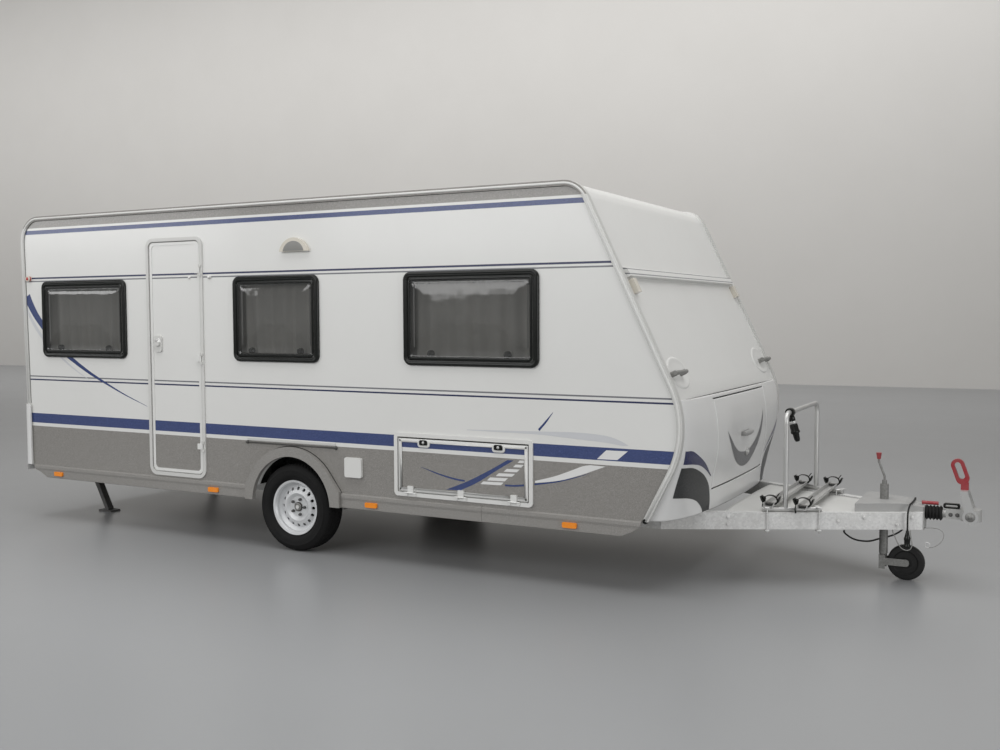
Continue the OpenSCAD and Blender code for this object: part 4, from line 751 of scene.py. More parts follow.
# %% Curtains
INNER_FACE = {"right": -32.0, "left": -32.0, "rear": -34.0}
CURTAIN_LAP, PLEAT, PLEAT_DEPTH, CURTAIN_BACK = 18.0, 122.0, 17.0, 21.0
rng = np.random.default_rng(7)


def curtain_grid(side, u0, u1, z0, z1):
    """A pleated sheet: depth = middle + height * sin(2 pi u / pleat + wander), the height growing from head
    to hem."""
    u = np.linspace(u0, u1, int((u1 - u0) / 5))
    v = np.linspace(0, 1, 24)
    wander = np.interp(u, np.linspace(u0, u1, 14), rng.normal(0, 0.9, 14))
    swell = np.interp(u, np.linspace(u0, u1, 11), rng.uniform(0.7, 1.0, 11))
    uu, vv = np.meshgrid(u, v, indexing="ij")
    wave = np.sin(2 * np.pi * uu / PLEAT + wander[:, None] + 0.5 * np.sin(2.3 * vv + uu / 300))
    depth = PLEAT_DEPTH * swell[:, None] * (1 - 0.45 * vv) * wave
    return on_wall(side, uu, INNER_FACE[side] - CURTAIN_BACK + depth, z0 + (z1 - z0) * vv)


for number, (side, u0, u1, low) in enumerate(WINDOWS):
    cloth = curtain_grid(side, u0 - CURTAIN_LAP, u1 + CURTAIN_LAP, low - CURTAIN_LAP, WIN_HIGH + CURTAIN_LAP)
    curtain = piece(f"curtain_{number + 1}", surface(cloth), "caravan", curtain_cloth,
                    facing=OUTWARD[side])
    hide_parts("curtains")

# %% [markdown]
# A trailer tyre is a turned section with a cut tread. The section follows the solid's; the tread is a drop in
# radius wherever a point falls in one of four ring grooves or in a slanted cut, so the outside size stays
# true. Hub cap, wheel nuts and valve are turned shapes on the same axis.

# %% Tyres
WHEEL_Y, WHEEL_Z, TYRE_R = 1054.0, 310.0, 310.0
TREAD_DEEP, TREAD_CUTS, TREAD_FROM = 7.0, 68, 296.0
wall_half = np.array([(178.3, 58), (182.5, 65.5), (195.5, 69.5), (199, 72), (206, 78), (218, 89.5),
                      (222, 91.6), (224, 92.8), (232, 94.8), (248, 97.5), (262, 96.6), (264, 97.4),
                      (268, 97.2), (270, 95.4), (274, 92.5), (286, 87), (298, 79.5), (301.5, 75), (305, 69),
                      (307, 65.5)])
tread_h = np.linspace(62, -62, 63)
crown = TYRE_R - 3.0 * np.clip((np.abs(tread_h) - 42) / 20, 0, 1) ** 1.6
section = np.concatenate([wall_half, np.stack([crown, tread_h], -1), (wall_half * [1, -1])[::-1]])


def tyre_grid(side):
    """Turned section with its radius lowered in the tread: ring grooves by distance across, slanted cuts by
    angle."""
    t = np.linspace(0, 2 * np.pi, TREAD_CUTS * 8, endpoint=False)[:, None]
    r, h = section[:, 0][None], section[:, 1][None]
    phase = (t * TREAD_CUTS / (2 * np.pi) + 0.028 * np.abs(h) + np.where(np.abs(h) < 26, 0.5, 0.0)) % 1.0
    ring = np.minimum(np.abs(np.abs(h) - 13.5), np.abs(np.abs(h) - 39.5)) < 3.2
    cut = (phase < 0.2) & (np.abs(h) > 17) & (np.abs(h) < 72)
    radius = r - np.where((r > TREAD_FROM) & (ring | cut), TREAD_DEEP, 0.0)
    return surface(place(radius * np.cos(t), side * (WHEEL_Y + h), WHEEL_Z + radius * np.sin(t)), True, True)


HUB_CAP = mm((0, 44), (17, 44), (20, 46), (24, 46), (27, 43), (29, 38), (30, 34), (34, 31), (34, 27), (0, 27))
WHEEL_NUT = mm((0, 55), (5, 54.6), (8.5, 52), (10.4, 48), (10.4, 31), (13.5, 30), (13.5, 27), (0, 27))
VALVE = mm((0, 40), (3.4, 40), (3.4, 26), (4.6, 25), (4.6, 12), (5.4, 4), (5.4, 0), (0, 0))
NUTS, NUT_CIRCLE, VALVE_AT, VALVE_OUT = 5, 56.0, 108.0, 22.0
around = np.linspace(0, 2 * np.pi, NUTS, endpoint=False)
for label, side in (("right", -1), ("left", 1)):
    wheel, axis = f"wheel_{label}", (0, side, 0)
    tyre = piece(f"tread_tyre_{label}", tyre_grid(side), wheel, tyre_rubber)
    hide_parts(f"tyre_{label}")
    turned(f"hub_cap_{label}", HUB_CAP, [(place(0, side * WHEEL_Y, WHEEL_Z), axis)], wheel,
           worn_zinc)
    at_nuts = place(NUT_CIRCLE * np.cos(around), side * WHEEL_Y, WHEEL_Z + NUT_CIRCLE * np.sin(around))
    turned(f"wheel_nuts_{label}", WHEEL_NUT, [(at, axis) for at in at_nuts], wheel, dark_steel,
           6, smooth=False)
    at_valve = place(VALVE_AT, side * (WHEEL_Y + VALVE_OUT), WHEEL_Z + VALVE_AT)
    turned(f"tyre_valve_{label}", VALVE, [(at_valve, (0.12, side, 0.12))], wheel,
           black_rubber, 16)
print("tyre points:", len(section) * TREAD_CUTS * 8)

# %% [markdown]
# The printed foil on the walls has swooshes as well as bands. Each is a ribbon between two smooth curves,
# laid a little off the sheet that carries it, so that it rides with that sheet, door or hatch lid.

# %% Foil ribbons
FOIL_LIFT, FRONT_LIFT = 0.6, 1.0


def even(points, count):
    """The smooth curve through the points, taken at even steps of its own length."""
    curve = bend_path(points, 16) if len(points) > 2 else np.asarray(points, float)
    run = np.concatenate([[0], np.cumsum(np.linalg.norm(np.diff(curve, axis=0), axis=1))])
    at = np.linspace(0, run[-1], count)
    return np.stack([np.interp(at, run, curve[:, k]) for k in range(curve.shape[1])], -1)


def ribbon(edge_a, edge_b, lay, count=48, across=7):
    """A sheet between two curves: straight steps from one edge to the other, each point laid on to its
    surface."""
    a, b = even(edge_a, count), even(edge_b, count)
    step = np.linspace(0, 1, across)[None, :, None]
    flat = a[:, None] * (1 - step) + b[:, None] * step
    return surface(lay(flat[..., 0], flat[..., 1]))


def band_of(centre, widths):
    """The two edges of a line of changing width: its centre curve moved by half the width along its own
    normal."""
    curve = even(centre, 40)
    slope = unit(np.gradient(curve, axis=0))
    normal = np.stack([-slope[:, 1], slope[:, 0]], -1)
    half = np.interp(np.linspace(0, 1, 40), np.linspace(0, 1, len(widths)), widths)[:, None] / 2
    return curve + normal * half, curve - normal * half


def right_sheet(x, z):
    return on_wall("right", x, FOIL_LIFT, z)


def side_line(centre, widths):
    """A line of changing width on the right-hand sheet."""
    return ribbon(*band_of(centre, widths), right_sheet)


def foil(name, parts, body, material, facing=(0, -1, 0), slot="white_sheet"):
    made = piece(name, join(parts), body, material, facing=facing)
    print(name, len(made.data.polygons))


sweep_high = [(-2738, 1832), (-2700, 1765), (-2640, 1680), (-2556, 1588), (-2528, 1558)]
sweep_low_part = [(-2272, 1350), (-2110, 1262), (-1955, 1188), (-1670, 1070), (-1400, 976)]
echo_high = [(-2752, 1752), (-2728, 1700), (-2680, 1625), (-2600, 1530), (-2532, 1462)]
echo_low = [(-2372, 1350), (-2240, 1268), (-2120, 1205), (-2020, 1160)]
foil("rear_sweep_blue", [side_line(sweep_high, [76, 62, 52]), side_line(sweep_low_part, [36, 26, 16, 8, 2])],
     "caravan", blue_decal)
foil("rear_sweep_grey", [side_line(echo_high, [22, 30, 26]), side_line(echo_low, [18, 12, 2])], "caravan",
     ghost_decal)
foil("side_dart", [side_line([(1930, 957), (1975, 1006), (2027, 1070)], [15, 12, 2])], "caravan", blue_decal)
ghost_up = [(1420, 936), (1904, 948), (2174, 955), (2369, 945), (2465, 920), (2520, 893)]
ghost_low = [(1420, 932), (1904, 930), (2074, 922), (2240, 912), (2369, 904), (2481, 890)]
foil("side_ghost", [ribbon(ghost_up, ghost_low, right_sheet)], "caravan", ghost_decal)
block = ribbon([(2377, 858), (2515, 860)], [(2318, 802), (2449, 804)], right_sheet)
sweep_up = [(1904, 640), (2040, 679), (2158, 725), (2224, 752), (2273, 762)]
sweep_low = [(1904, 628), (2057, 650), (2207, 696), (2289, 727), (2373, 760)]
foil("side_white_sweep", [ribbon(sweep_up, sweep_low, right_sheet), block], "caravan", white_decal)
under_line = [(1900, 619), (1938, 625), (2074, 651), (2207, 690), (2268, 714)]
foil("side_blue_line", [side_line(under_line, [11, 10, 8, 5, 1])], "caravan", blue_decal)
diagonal = ribbon([(1263, 538), (1422, 603), (1587, 687), (1712, 758)],
                  [(1366, 539), (1496, 601), (1641, 691), (1756, 758)], right_sheet)
curl = side_line([(1073, 672), (1216, 633), (1329, 611), (1402, 604)], [2, 8, 11, 12])
tail = side_line([(1694, 597), (1760, 599), (1828, 607)], [12, 12, 12])
foil("hatch_blue_lines", [diagonal, curl, tail], "service_lid", blue_decal)
# Each rung: the two ends of its upper edge, then of its lower edge
rungs = [((1798, 761), (1828, 762), (1783, 745), (1828, 746)),
         ((1770, 733), (1828, 735), (1751, 716), (1809, 717)),
         ((1707, 702), (1798, 704), (1685, 683), (1777, 685)),
         ((1650, 671), (1765, 674), (1628, 651), (1744, 655)),
         ((1587, 640), (1715, 643), (1565, 619), (1692, 622)),
         ((1538, 611), (1685, 614), (1517, 592), (1664, 595))]
foil("hatch_white_rungs", [ribbon(rung[:2], rung[2:], right_sheet, 8, 3) for rung in rungs], "service_lid",
     white_decal)

# %% [markdown]
# On the moulded front the foil follows the bowed surface: a blue and a dark patch wrap each lower corner,
# and a crescent hangs below the lid's handle. The same surface function lays them on.


# %% Foil on the moulded front
def front_sheet_at(y, z):
    return place(front_x(y, z) + FRONT_LIFT, y, z)


def mirrored(points):
    return [(-y, z) for y, z in points]


corner_blue = ([(-1096, 872), (-1010, 863), (-898, 818), (-779, 760), (-644, 671)],
               [(-1090, 792), (-994, 783), (-874, 762), (-756, 720), (-652, 668)])
corner_dark = ([(-1096, 772), (-953, 755), (-771, 691), (-660, 612), (-620, 520), (-625, 455)],
               [(-1080, 588), (-933, 569), (-830, 540), (-770, 506), (-735, 474), (-728, 455)])
for label, turn in (("right", list), ("left", mirrored)):
    for tone, edges, steps, material in (("blue", corner_blue, (40, 12), navy_decal),
                                         ("dark", corner_dark, (48, 20), dark_decal)):
        foil(f"front_{tone}_{label}", [ribbon(turn(edges[0]), turn(edges[1]), front_sheet_at, *steps)],
             "caravan", material, (1, 0, 0), "white_gelcoat")
crescent = ([(-400, 925), (-330, 836), (-225, 744), (-110, 680), (30, 645), (170, 652), (290, 700),
             (392, 785), (465, 890), (505, 1000)],
            [(-400, 925), (-320, 868), (-225, 806), (-110, 762), (30, 744), (160, 753), (270, 793),
             (370, 850), (450, 925), (505, 1000)])
foil("lid_crescent", [ribbon(*crescent, front_sheet_at, 60, 10)], "locker_lid", crescent_decal, (1, 0, 0),
     "white_gelcoat")

# %% [markdown]
# Small fittings turn a panel into a vehicle: pale rims and lock plates on the hatch lids, thin seals in the
# gaps round the leaves, and a lock and a grip on the front lid. They are turned shapes and swept rings.

# %% Hatch rims and locks
RIM_LIP = [(0, 0.2), (0, 6), (1.5, 8), (5, 8.6), (20, 8.6), (23, 7.6), (25, 5), (25, 0.2)]
LOCK_PLATE = [(0, 0.3), (0, 7), (2, 9.4), (5, 10.4), (14, 10.4), (15, 10), (15, 0.3)]
SEAL = [(26.2, -14), (26.2, -4), (27.6, -3), (29.4, -4), (29.6, -14)]
LOCK_XS, LOCK_Z = (1096, 1651), 834
LID_LOCK_Y, LID_LOCK_Z = 90, 739
GRIP_HALF, GRIP_R, GRIP_Z, GRIP_OUT = 101, 18.5, 876, 22
for lid, side, rectangle in (("service_lid", "right", (899, 1859, 505, 856)),
                             ("cassette_lid", "left", (-967, -653, 533, 864))):
    piece(f"{lid}_rim", wall_ring(side, rectangle, 8, RIM_LIP), lid, white_plastic)
lock_plates = [wall_ring("right", (x - 46, x + 46, 801, 854), 20, LOCK_PLATE) for x in LOCK_XS]
piece("service_lock_plates", join(lock_plates), "service_lid", white_plastic)
barrel = mm((0, 17.2), (4, 17.2), (5, 16.6), (5.4, 15.4), (8.8, 15.4), (9.6, 14.6), (9.6, 13.4), (0, 13.4))
turned("service_lock_barrels", barrel, [(on_wall("right", x, 0, LOCK_Z), (0, -1, 0)) for x in LOCK_XS],
       "service_lid", rail_alloy, 32)
lock_ring = mm((0, 7), (8, 7), (9.5, 6), (10.5, 4.5), (15, 4.5), (17.5, 3.5), (18.5, 1.5), (18.5, -3),
               (0, -3))
lean = unit(np.array([1.0, (front_x(LID_LOCK_Y - 1, LID_LOCK_Z) - front_x(LID_LOCK_Y + 1, LID_LOCK_Z)) / 2,
                      (front_x(LID_LOCK_Y, LID_LOCK_Z - 1) - front_x(LID_LOCK_Y, LID_LOCK_Z + 1)) / 2]))
at_lock = place(front_x(LID_LOCK_Y, LID_LOCK_Z), LID_LOCK_Y, LID_LOCK_Z)
turned("lid_lock", lock_ring * [1.5, 2.4], [(at_lock, lean)], "locker_lid", rail_alloy, 40)
seals = [wall_ring("right", (866, 1892, 472, 892), 30, SEAL),
         wall_ring("left", (-1000, -620, 500, 900), 30, SEAL),
         wall_ring("right", (-1375, -806, 460, 2248), 70, SEAL)]
piece("leaf_seals", join(seals), "caravan", trim_plastic)
h = np.linspace(-GRIP_HALF, GRIP_HALF, 33)
grip = np.stack([GRIP_R * np.sqrt(np.maximum(1 - (h / GRIP_HALF) ** 4, 0)), h], -1) / 1000
turned("lid_grip", grip, [(place(front_x(0, GRIP_Z) + GRIP_OUT, 0, GRIP_Z), (0, 1, 0))], "locker_lid",
       cover_grey, 28)
print("hatch seals:", len(seals))

# %% [markdown]
# Caravan windows are blown acrylic: a flat flange, a groove, and a cushion that bulges out. The solid pane is
# a flat slab, so the scene works out the blown face as a height over the rounded rectangle. A black border,
# two catches and two stays show through or stand on each pane.

# %% Blown panes
PANE_INSET, PANE_OUT, CUSHION = 36.3, 18.0, 10.0
BORDER_INSET, CATCH_UP, STAY_IN, STAY_DOWN = 37, 78, 78, 84


def pane_part(side, u0, u1, z0, z1, corner):
    """Rings shrinking from the rim to the middle: a flange, a groove, then a cushion ((1 - a^2)(1 - b^2))^0.6
    high."""
    path, _ = rounded_path(u0, u1, z0, z1, corner, 12)
    middle = np.array([(u0 + u1) / 2, (z0 + z1) / 2])
    half = np.array([(u1 - u0) / 2, (z1 - z0) / 2])
    inset = np.concatenate([[0, 3, 12, 20, 24, 28, 34, 42, 48], np.linspace(56, half.min() - 4, 16)])
    groove = np.interp(inset, [0, 3, 20, 25, 30, 36, 44, 60], [-6, 0, -0.5, -5.5, -6.5, -5, -1.5, 0])
    rings = middle + (path - middle)[None] * (1 - inset[:, None] / half[None])[:, None]
    crest = np.where(half == half.min(), middle, rings[-1:])
    rings, groove = np.concatenate([rings, crest]), np.append(groove, groove[-1])
    across = np.clip((rings - middle) / (half - 40), -1, 1)
    rise = groove[:, None] + CUSHION * np.prod(1 - across ** 2, axis=-1) ** 0.6
    return surface(on_wall(side, rings[..., 0], PANE_OUT + rise, rings[..., 1]), False, True)


panes = [pane_part(side, u0 + PANE_INSET, u1 - PANE_INSET, low + PANE_INSET, WIN_HIGH - PANE_INSET,
                   WIN_R - PANE_INSET) for side, u0, u1, low in WINDOWS]
for number, (part, window) in enumerate(zip(panes, WINDOWS)):
    pane = piece(f"pane_{number + 1}", part, "caravan", tinted_acrylic,
                 facing=OUTWARD[window[0]])
    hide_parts("window_panes")
BORDER = [(0, 17.9), (0, 18.6), (16, 18.6), (19.5, 17.4), (22, 13.6), (25, 12.2), (25, 11.4), (19, 13)]
borders = [wall_ring(side, (u0 + BORDER_INSET, u1 - BORDER_INSET, low + BORDER_INSET,
                            WIN_HIGH - BORDER_INSET), 32, BORDER) for side, u0, u1, low in WINDOWS]
piece("pane_borders", join(borders), "caravan", black_plastic)
knob = mm((0, 9), (12, 9), (19, 6), (22, -2), (24, -20), (0, -20))
stay = mm((0, 13), (6, 12.5), (11, 9), (14, 3), (14, -8), (0, -8))
knobs, stays = [], []
for side, u0, u1, low in WINDOWS:
    for share in (0.2, 0.77):
        knobs.append((on_wall(side, u0 + share * (u1 - u0), 0, low + CATCH_UP), OUTWARD[side]))
    for u in (u0 + STAY_IN, u1 - STAY_IN):
        stays.append(lathe(stay, on_wall(side, u, 0, WIN_HIGH - STAY_DOWN), OUTWARD[side], 20))
        bar = on_wall(side, u, [2.0, 3, 3, 2], [low + 120.0, low + 200, WIN_HIGH - 180, WIN_HIGH - 92])
        stays.append(tube(bar, 0.0045, 10, up=OUTWARD[side]))
turned("window_catches", knob, knobs, "caravan", black_plastic, 20)
piece("window_stays", join(stays), "caravan", rail_alloy)
print("panes:", len(panes))

# %% [markdown]
# The corner rails of the body have a soft insert strip that hides the screws, and a dark seal beside it. Both
# follow the outline of the wall: foot, nose, slope, roof, tail, worked out as arcs joined by straight runs.
# The wheel arch has a thin black bead along its outer edge, painted shadow for the gap there, and a thin rod
# runs above it.

# %% Rail inserts
TOP_C, TOP_R, TAIL_C, TAIL_R = (2095.5, 2290.0), 170.0, (-2585.0, 2270.0), 190.0
INSERT_IN, INSERT_OUT, SEAL_IN, RAIL_END_Z, ROD_OUT, ROD_Z = 6.0, 10.0, 23.5, 955, 7.0, 758.0


def arc(centre, radius, low, high, count=28):
    """Points on a circle from one angle to another, in degrees from the x axis."""
    t = np.radians(np.linspace(low, high, count))
    return np.stack([centre[0] + radius * np.cos(t), centre[1] + radius * np.sin(t)], -1)


def body_outline(inset):
    """The side outline moved inwards: foot slope, nose arc, front slope, front bend, roof, rear bend and rear
    wall."""
    foot = [(float(nose_x(FOOT_Z + 6)) - inset / math.cos(UNDER_SLOPE), FOOT_Z + 6)]
    nose = arc((NOSE_C, NOSE_Z), NOSE_R - inset, -UNDER_DEG, FRONT_DEG)
    top = arc(TOP_C, TOP_R - inset, FRONT_DEG, 90)
    tail = arc(TAIL_C, TAIL_R - inset, 90, 180 + REAR_DEG)
    low = [(REAR_X + inset + (REAR_Z - RAIL_END_Z) * REAR_LEAN, RAIL_END_Z)]
    return np.concatenate([foot, nose, top, tail, low])


bead = mm((-7, -2), (-7, 1.5), (-5.4, 3.6), (-2.5, 4.8), (0, 5.1), (2.5, 4.8), (5.4, 3.6), (7, 1.5), (7, -2))
seal = mm((-2, -1), (-2, 1.2), (0, 1.8), (2, 1.2), (2, -1))
for label, side in (("right", -1), ("left", 1)):
    for strip, inset, out, profile, slot, material in (
            ("insert", INSERT_IN, INSERT_OUT, bead, "white_plastic", white_plastic),
            ("seal", SEAL_IN, 0.0, seal, "black_rubber", dark_plastic)):
        line = body_outline(inset)
        run = place(line[:, 0], side * (HALF_W + out), line[:, 1])
        piece(f"rail_{strip}_{label}", swept(run, profile, (0, side, 0)), "caravan", material)
# A thin black bead along each arch's outer edge is painted shadow: it draws the dark gap there as a rubber
# strip
arch_line = np.concatenate([[(427, 453)], arc((0, 333), 414.5, 34.0, 146.0, 60), [(-415, 453)]])
arch_shadow_section = mm((-2.6, -0.5), (-2.6, 1.8), (0, 2.6), (2.6, 1.8), (2.6, -0.5))
rod_end = mm((0, 16), (6, 16), (9, 14), (10, 10), (10, 3), (13, 2), (13, 0), (0, 0))
arch_shadow_beads, rods = [], []
for side in (-1, 1):
    arch_shadow_beads.append(swept(place(arch_line[:, 0], side * HALF_W, arch_line[:, 1]), arch_shadow_section, (0, side, 0)))
    rod = place([-412.0, -140, 120, 392], side * (HALF_W + ROD_OUT), ROD_Z)
    rods.append(tube(rod, 0.0048, 12, up=(0, side, 0)))
    for x in (-404.0, 384.0):
        rods.append(lathe(rod_end, place(x, side * HALF_W, ROD_Z), (0, side, 0), 20))
piece("arch_shadow_line", join(arch_shadow_beads), "caravan", black_rubber)
piece("cover_rods", join(rods), "caravan", dark_plastic)
insert_line = body_outline(INSERT_IN)
print("rail length:", round(path_length(place(insert_line[:, 0], 0, insert_line[:, 1])), 2), "m")

# %% [markdown]
# The bicycle carrier holds each wheel in a plastic cradle with a ratchet strap over it, and the frame with a
# clamp that swings from the hoop. Straps are flat sections swept along a bent path; the clamp is turned.

# %% Bicycle carrier fittings
HOLDERS = [(x, y) for x in (3190.0, 3390.0) for y in (-465.0, 465.0)]
CHANNEL_Z = 506.0


def strap(x, y, route, width, thick):
    """A flat strip bent in the x-z plane about a holder."""
    path = bend_path(np.array(route, float), 8)
    points = place(x + path[:, 0], y, CHANNEL_Z + path[:, 1])
    return swept(points, flat_strip(width, thick)[:, ::-1], (0, 1, 0))


cradle_route = [(-58, 34), (-50, 10), (-38, -6), (-20, -12), (0, -13), (20, -12), (38, -6), (50, 10),
                (58, 34)]
strap_route = [(40, -2), (41, 12), (34, 28), (18, 38), (0, 40.5), (-18, 38), (-34, 28), (-41, 12), (-45, -6),
               (-49, -30), (-47, -58)]
tip_route = [(34, 28), (42, 40), (52, 54)]
cradles = join([strap(x, y, cradle_route, 56, 9) for x, y in HOLDERS])
straps = join([strap(x, y, route, 28, 4.6) for x, y in HOLDERS for route in (strap_route, tip_route)])
buckle = mm((0, 17), (7, 17), (11, 13), (12, 6), (12, -8), (9, -15), (0, -15))
buckles = join([lathe(buckle, place(x - 42, y, CHANNEL_Z + 14), (0.15, 0, 1), 8) for x, y in HOLDERS])
clamp_axis = np.array([0.26, 0.0, -0.966])
clamp_at = place(3278, -354, 1055)
clamp_arm = mm((0, 20), (13, 20), (14.5, 26), (14.5, 44), (11.5, 46), (11.5, 58), (17, 60), (19, 66),
               (19, 92), (21, 96), (21, 104), (15, 110), (13, 138), (9, 148), (0, 150)) * [1.35, 1.25]
clamp_ring = mm((15.4, -24), (25, -24), (28, -20), (28, 20), (25, 24), (15.4, 24), (15.4, -24))
clamp = join([lathe(clamp_arm, clamp_at, clamp_axis, 12), lathe(clamp_ring, clamp_at, (0, 1, 0), 32)])
holders = piece("rack_straps", join([cradles, straps, buckles, clamp]), "caravan",
                black_plastic)
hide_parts("rack_holders")
ferrule = mm((12.2, 45), (16, 46), (16.6, 52), (16, 59), (12.2, 60), (12.2, 45)) * [1.4, 1.25]
turned("clamp_ferrule", ferrule, [(clamp_at, clamp_axis)], "caravan", rail_alloy, 32)
print("rack straps:", len(holders.data.polygons))

# %% [markdown]
# The drawbar is bolted up: hex heads with washers along each member, and threaded clamp bolts that hold the
# carrier's feet. Each bolt stands on the member's own face, found from the member's line and its outward
# normal. A thin apron closes the space between the members, and the coupling has its caps and bolts.

# %% Drawbar bolts
BAR_ANGLE = math.radians(26.5)
BALL_X, BALL_Z, HEAD_R = 4292.0, 437.0, 60.0
TIP_X, TIP_Y, BAR_HALF = 4029.0, 80.0, 32.0
FOOT_BAR_Z, CAP_BAR_Z, APRON_Z, APRON_CROWN = 0.3395, 0.479, 442, 9
hex_head = mm((0, 9), (6.5, 9), (8.6, 8), (8.6, 2.2), (13.5, 2.2), (13.5, -0.5), (0, -0.5))


def bar_y(x):
    """Middle of a drawbar member: the tip's half spread plus the run back times the angle's tangent."""
    return TIP_Y + (TIP_X - x) * math.tan(BAR_ANGLE)


bolts, clamps = [], []
for side in (-1, 1):
    outward = np.array([math.sin(BAR_ANGLE), side * math.cos(BAR_ANGLE), 0])
    for x, z in ((2960, 420), (2960, 375), (3560, 398), (3700, 420), (3880, 375), (3960, 420)):
        bolts.append(lathe(hex_head, place(x, side * bar_y(x), z) + outward * BAR_HALF / 1000, outward, 6))
    for x in (3172, 3455):
        middle = place(x, side * bar_y(x), 0)
        for reach in (-1, 1):
            foot = middle + outward * reach * (BAR_HALF + 7) / 1000
            rod = np.stack([foot + [0, 0, z / 1000] for z in (322, 380, 440, 476)])
            clamps.append(tube(rod, 0.0038, 10, up=(1, 0, 0)))
        for height, thick in ((FOOT_BAR_Z, 6), (CAP_BAR_Z, 5)):
            bar = np.stack([middle + outward * t * (BAR_HALF + 15) / 1000 + [0, 0, height]
                            for t in (-1, -0.3, 0.3, 1)])
            clamps.append(swept(bar, flat_strip(26, thick), (0, 0, 1)))
piece("drawbar_bolts", join(bolts), "caravan", zinc_steel, smooth=False)
piece("carrier_clamps", join(clamps), "caravan", zinc_steel)
run, share = np.linspace(2930, 3648, 30)[:, None], np.linspace(-1, 1, 25)[None]
apron = surface(place(run, share * (bar_y(run) - BAR_HALF - 4), APRON_Z + APRON_CROWN * (1 - share ** 4)))
apron_plate = piece("drawbar_apron", apron, "caravan", trim_plastic, facing=(0, 0, 1))
add_modifier(apron_plate, "SOLIDIFY", thickness=0.004, offset=-1.0)
disc_cap = mm((0, 7), (7, 7), (8.5, 5.5), (8.5, 2.4), (26, 2.4), (29, 0.5), (29, -1), (0, -1))
turned("friction_caps", disc_cap, on_both_sides(BALL_X, HEAD_R + 13, BALL_Z), "caravan",
       worn_zinc, 36)
tow_bolts = [(place(x, side * 34, BALL_Z), (0, side, 0))
             for side in (-1, 1) for x in (BALL_X - 112, BALL_X - 74)]
turned("coupling_bolts", hex_head, tow_bolts, "caravan", dark_steel, 6, smooth=False)
print("bolts:", len(bolts), "clamp parts:", len(clamps))

# %% [markdown]
# A bent wire under the nose parks the plug when the caravan stands alone. It is one round rod on a smooth
# path.

# %% Plug rest
REST_MM = [(3868, -178, 344), (3868, -182, 330), (3884, -196, 300), (3904, -204, 262), (3924, -206, 238),
           (3950, -206, 228), (3972, -204, 236), (3982, -200, 262), (3976, -192, 300), (3968, -176, 330),
           (3966, -168, 344)]
rest_path = smooth_route(REST_MM, 8)
piece("plug_rest", tube(rest_path, 0.003, 10, up=(0, 1, 0)), "caravan", worn_zinc)
print("plug rest:", round(path_length(rest_path), 3), "m of wire")

# %% [markdown]
# Lamps: the tail lamps are ribbed domes in a ring, the awning lamp has a dull grey diffuser, and the rear
# side markers are small red turned lenses. The number plate is left blank.

# %% Lamps and plate
TAIL_X, TAIL_Y, AMBER_Z = -2809.0, 990.0, 720.0
DOME_R, DOME_SUNK, RING_SUNK = 47, 0.009, 0.0065
PLATE_HALF_W, PLATE_HALF_H, PLATE_Z, PLATE_IN = 260, 55, 630, 12
AWNING_X, AWNING_Z, AWNING_R, AWNING_OUT = 57, 2112, 92, 28.4
tail_at = [(side * TAIL_Y, z) for side in (-1, 1) for z in (600.0, AMBER_Z, 840.0)]
r = np.linspace(0, DOME_R, 40)
dome = np.stack([r, 7.5 - 5.5 * (r / DOME_R) ** 2 + 0.55 * np.cos(2 * np.pi * r / 6)], -1)
dome = np.concatenate([dome, [(48, -1), (0, -1)]]) / 1000 - [0, DOME_SUNK]
ring = mm((46.5, -1), (46.5, 4.5), (48, 6), (52, 6), (54, 4.5), (54.5, -1), (46.5, -1)) - [0, RING_SUNK]
red_at = [(place(TAIL_X, y, z), (-1, 0, 0)) for y, z in tail_at if z != AMBER_Z]
amber_at = [(place(TAIL_X, y, z), (-1, 0, 0)) for y, z in tail_at if z == AMBER_Z]
for label, spots, material in (("red", red_at, red_lens), ("amber", amber_at, amber_lens)):
    domes = turned(f"tail_domes_{label}", dome, spots, "caravan", material)
    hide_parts("rear_lamps")
turned("tail_rings", ring, red_at + amber_at, "caravan", grey_plastic)
plate = np.array([(0, -0.5), (0, 1.6), (1.2, 2.4), (5, 2.4), (6, 1.9), (20, 1.9), (40, 1.9), (55, 1.9)])
plate_path, _ = rounded_path(-PLATE_HALF_W, PLATE_HALF_W, PLATE_Z - PLATE_HALF_H, PLATE_Z + PLATE_HALF_H, 10)
shrunk = plate_path[:, None] - [0, PLATE_Z]
shrunk = shrunk * (1 - plate[None, :, :1] / [PLATE_HALF_W, PLATE_HALF_H]) + [0, PLATE_Z]
plate_x = TAIL_X + PLATE_IN - plate[None, :, 1]
plate_face = surface(place(plate_x, shrunk[..., 0], shrunk[..., 1]), close_u=True)
piece("number_plate", plate_face, "caravan", plain_sheet, facing=(-1, 0, 0))
fan = np.linspace(0.16, np.pi - 0.16, 40)[:, None]
span = np.linspace(0, 1, 6)[None]
lens_z = AWNING_Z + (AWNING_R * np.sin(fan) * 0.86 - 10) * span
lens_out = AWNING_OUT + 2.2 * np.sin(np.pi * span) * np.sin(fan)
diffuser = on_wall("right", AWNING_X + AWNING_R * np.cos(fan), lens_out, lens_z)
piece("awning_diffuser", surface(diffuser), "caravan", grey_plastic, facing=(0, -1, 0))
marker = mm((0, 30), (9, 30), (17, 27), (21, 22), (22.5, 14), (22.5, 8), (18, 4), (23, 0), (0, 0))
turned("rear_side_markers", marker, on_both_sides(-2697, HALF_W, 1972), "caravan", red_lens, 36)
print("tail lamps:", len(tail_at))

# %% [markdown]
# The door has a round lock face behind its lever, and the wall a small catch that holds the open door. The
# grab handles on the front sit in a dished boss, and the jockey wheel's axle has a cap at each end. Apart
# from the bosses, all are turned shapes on the faces that carry them.

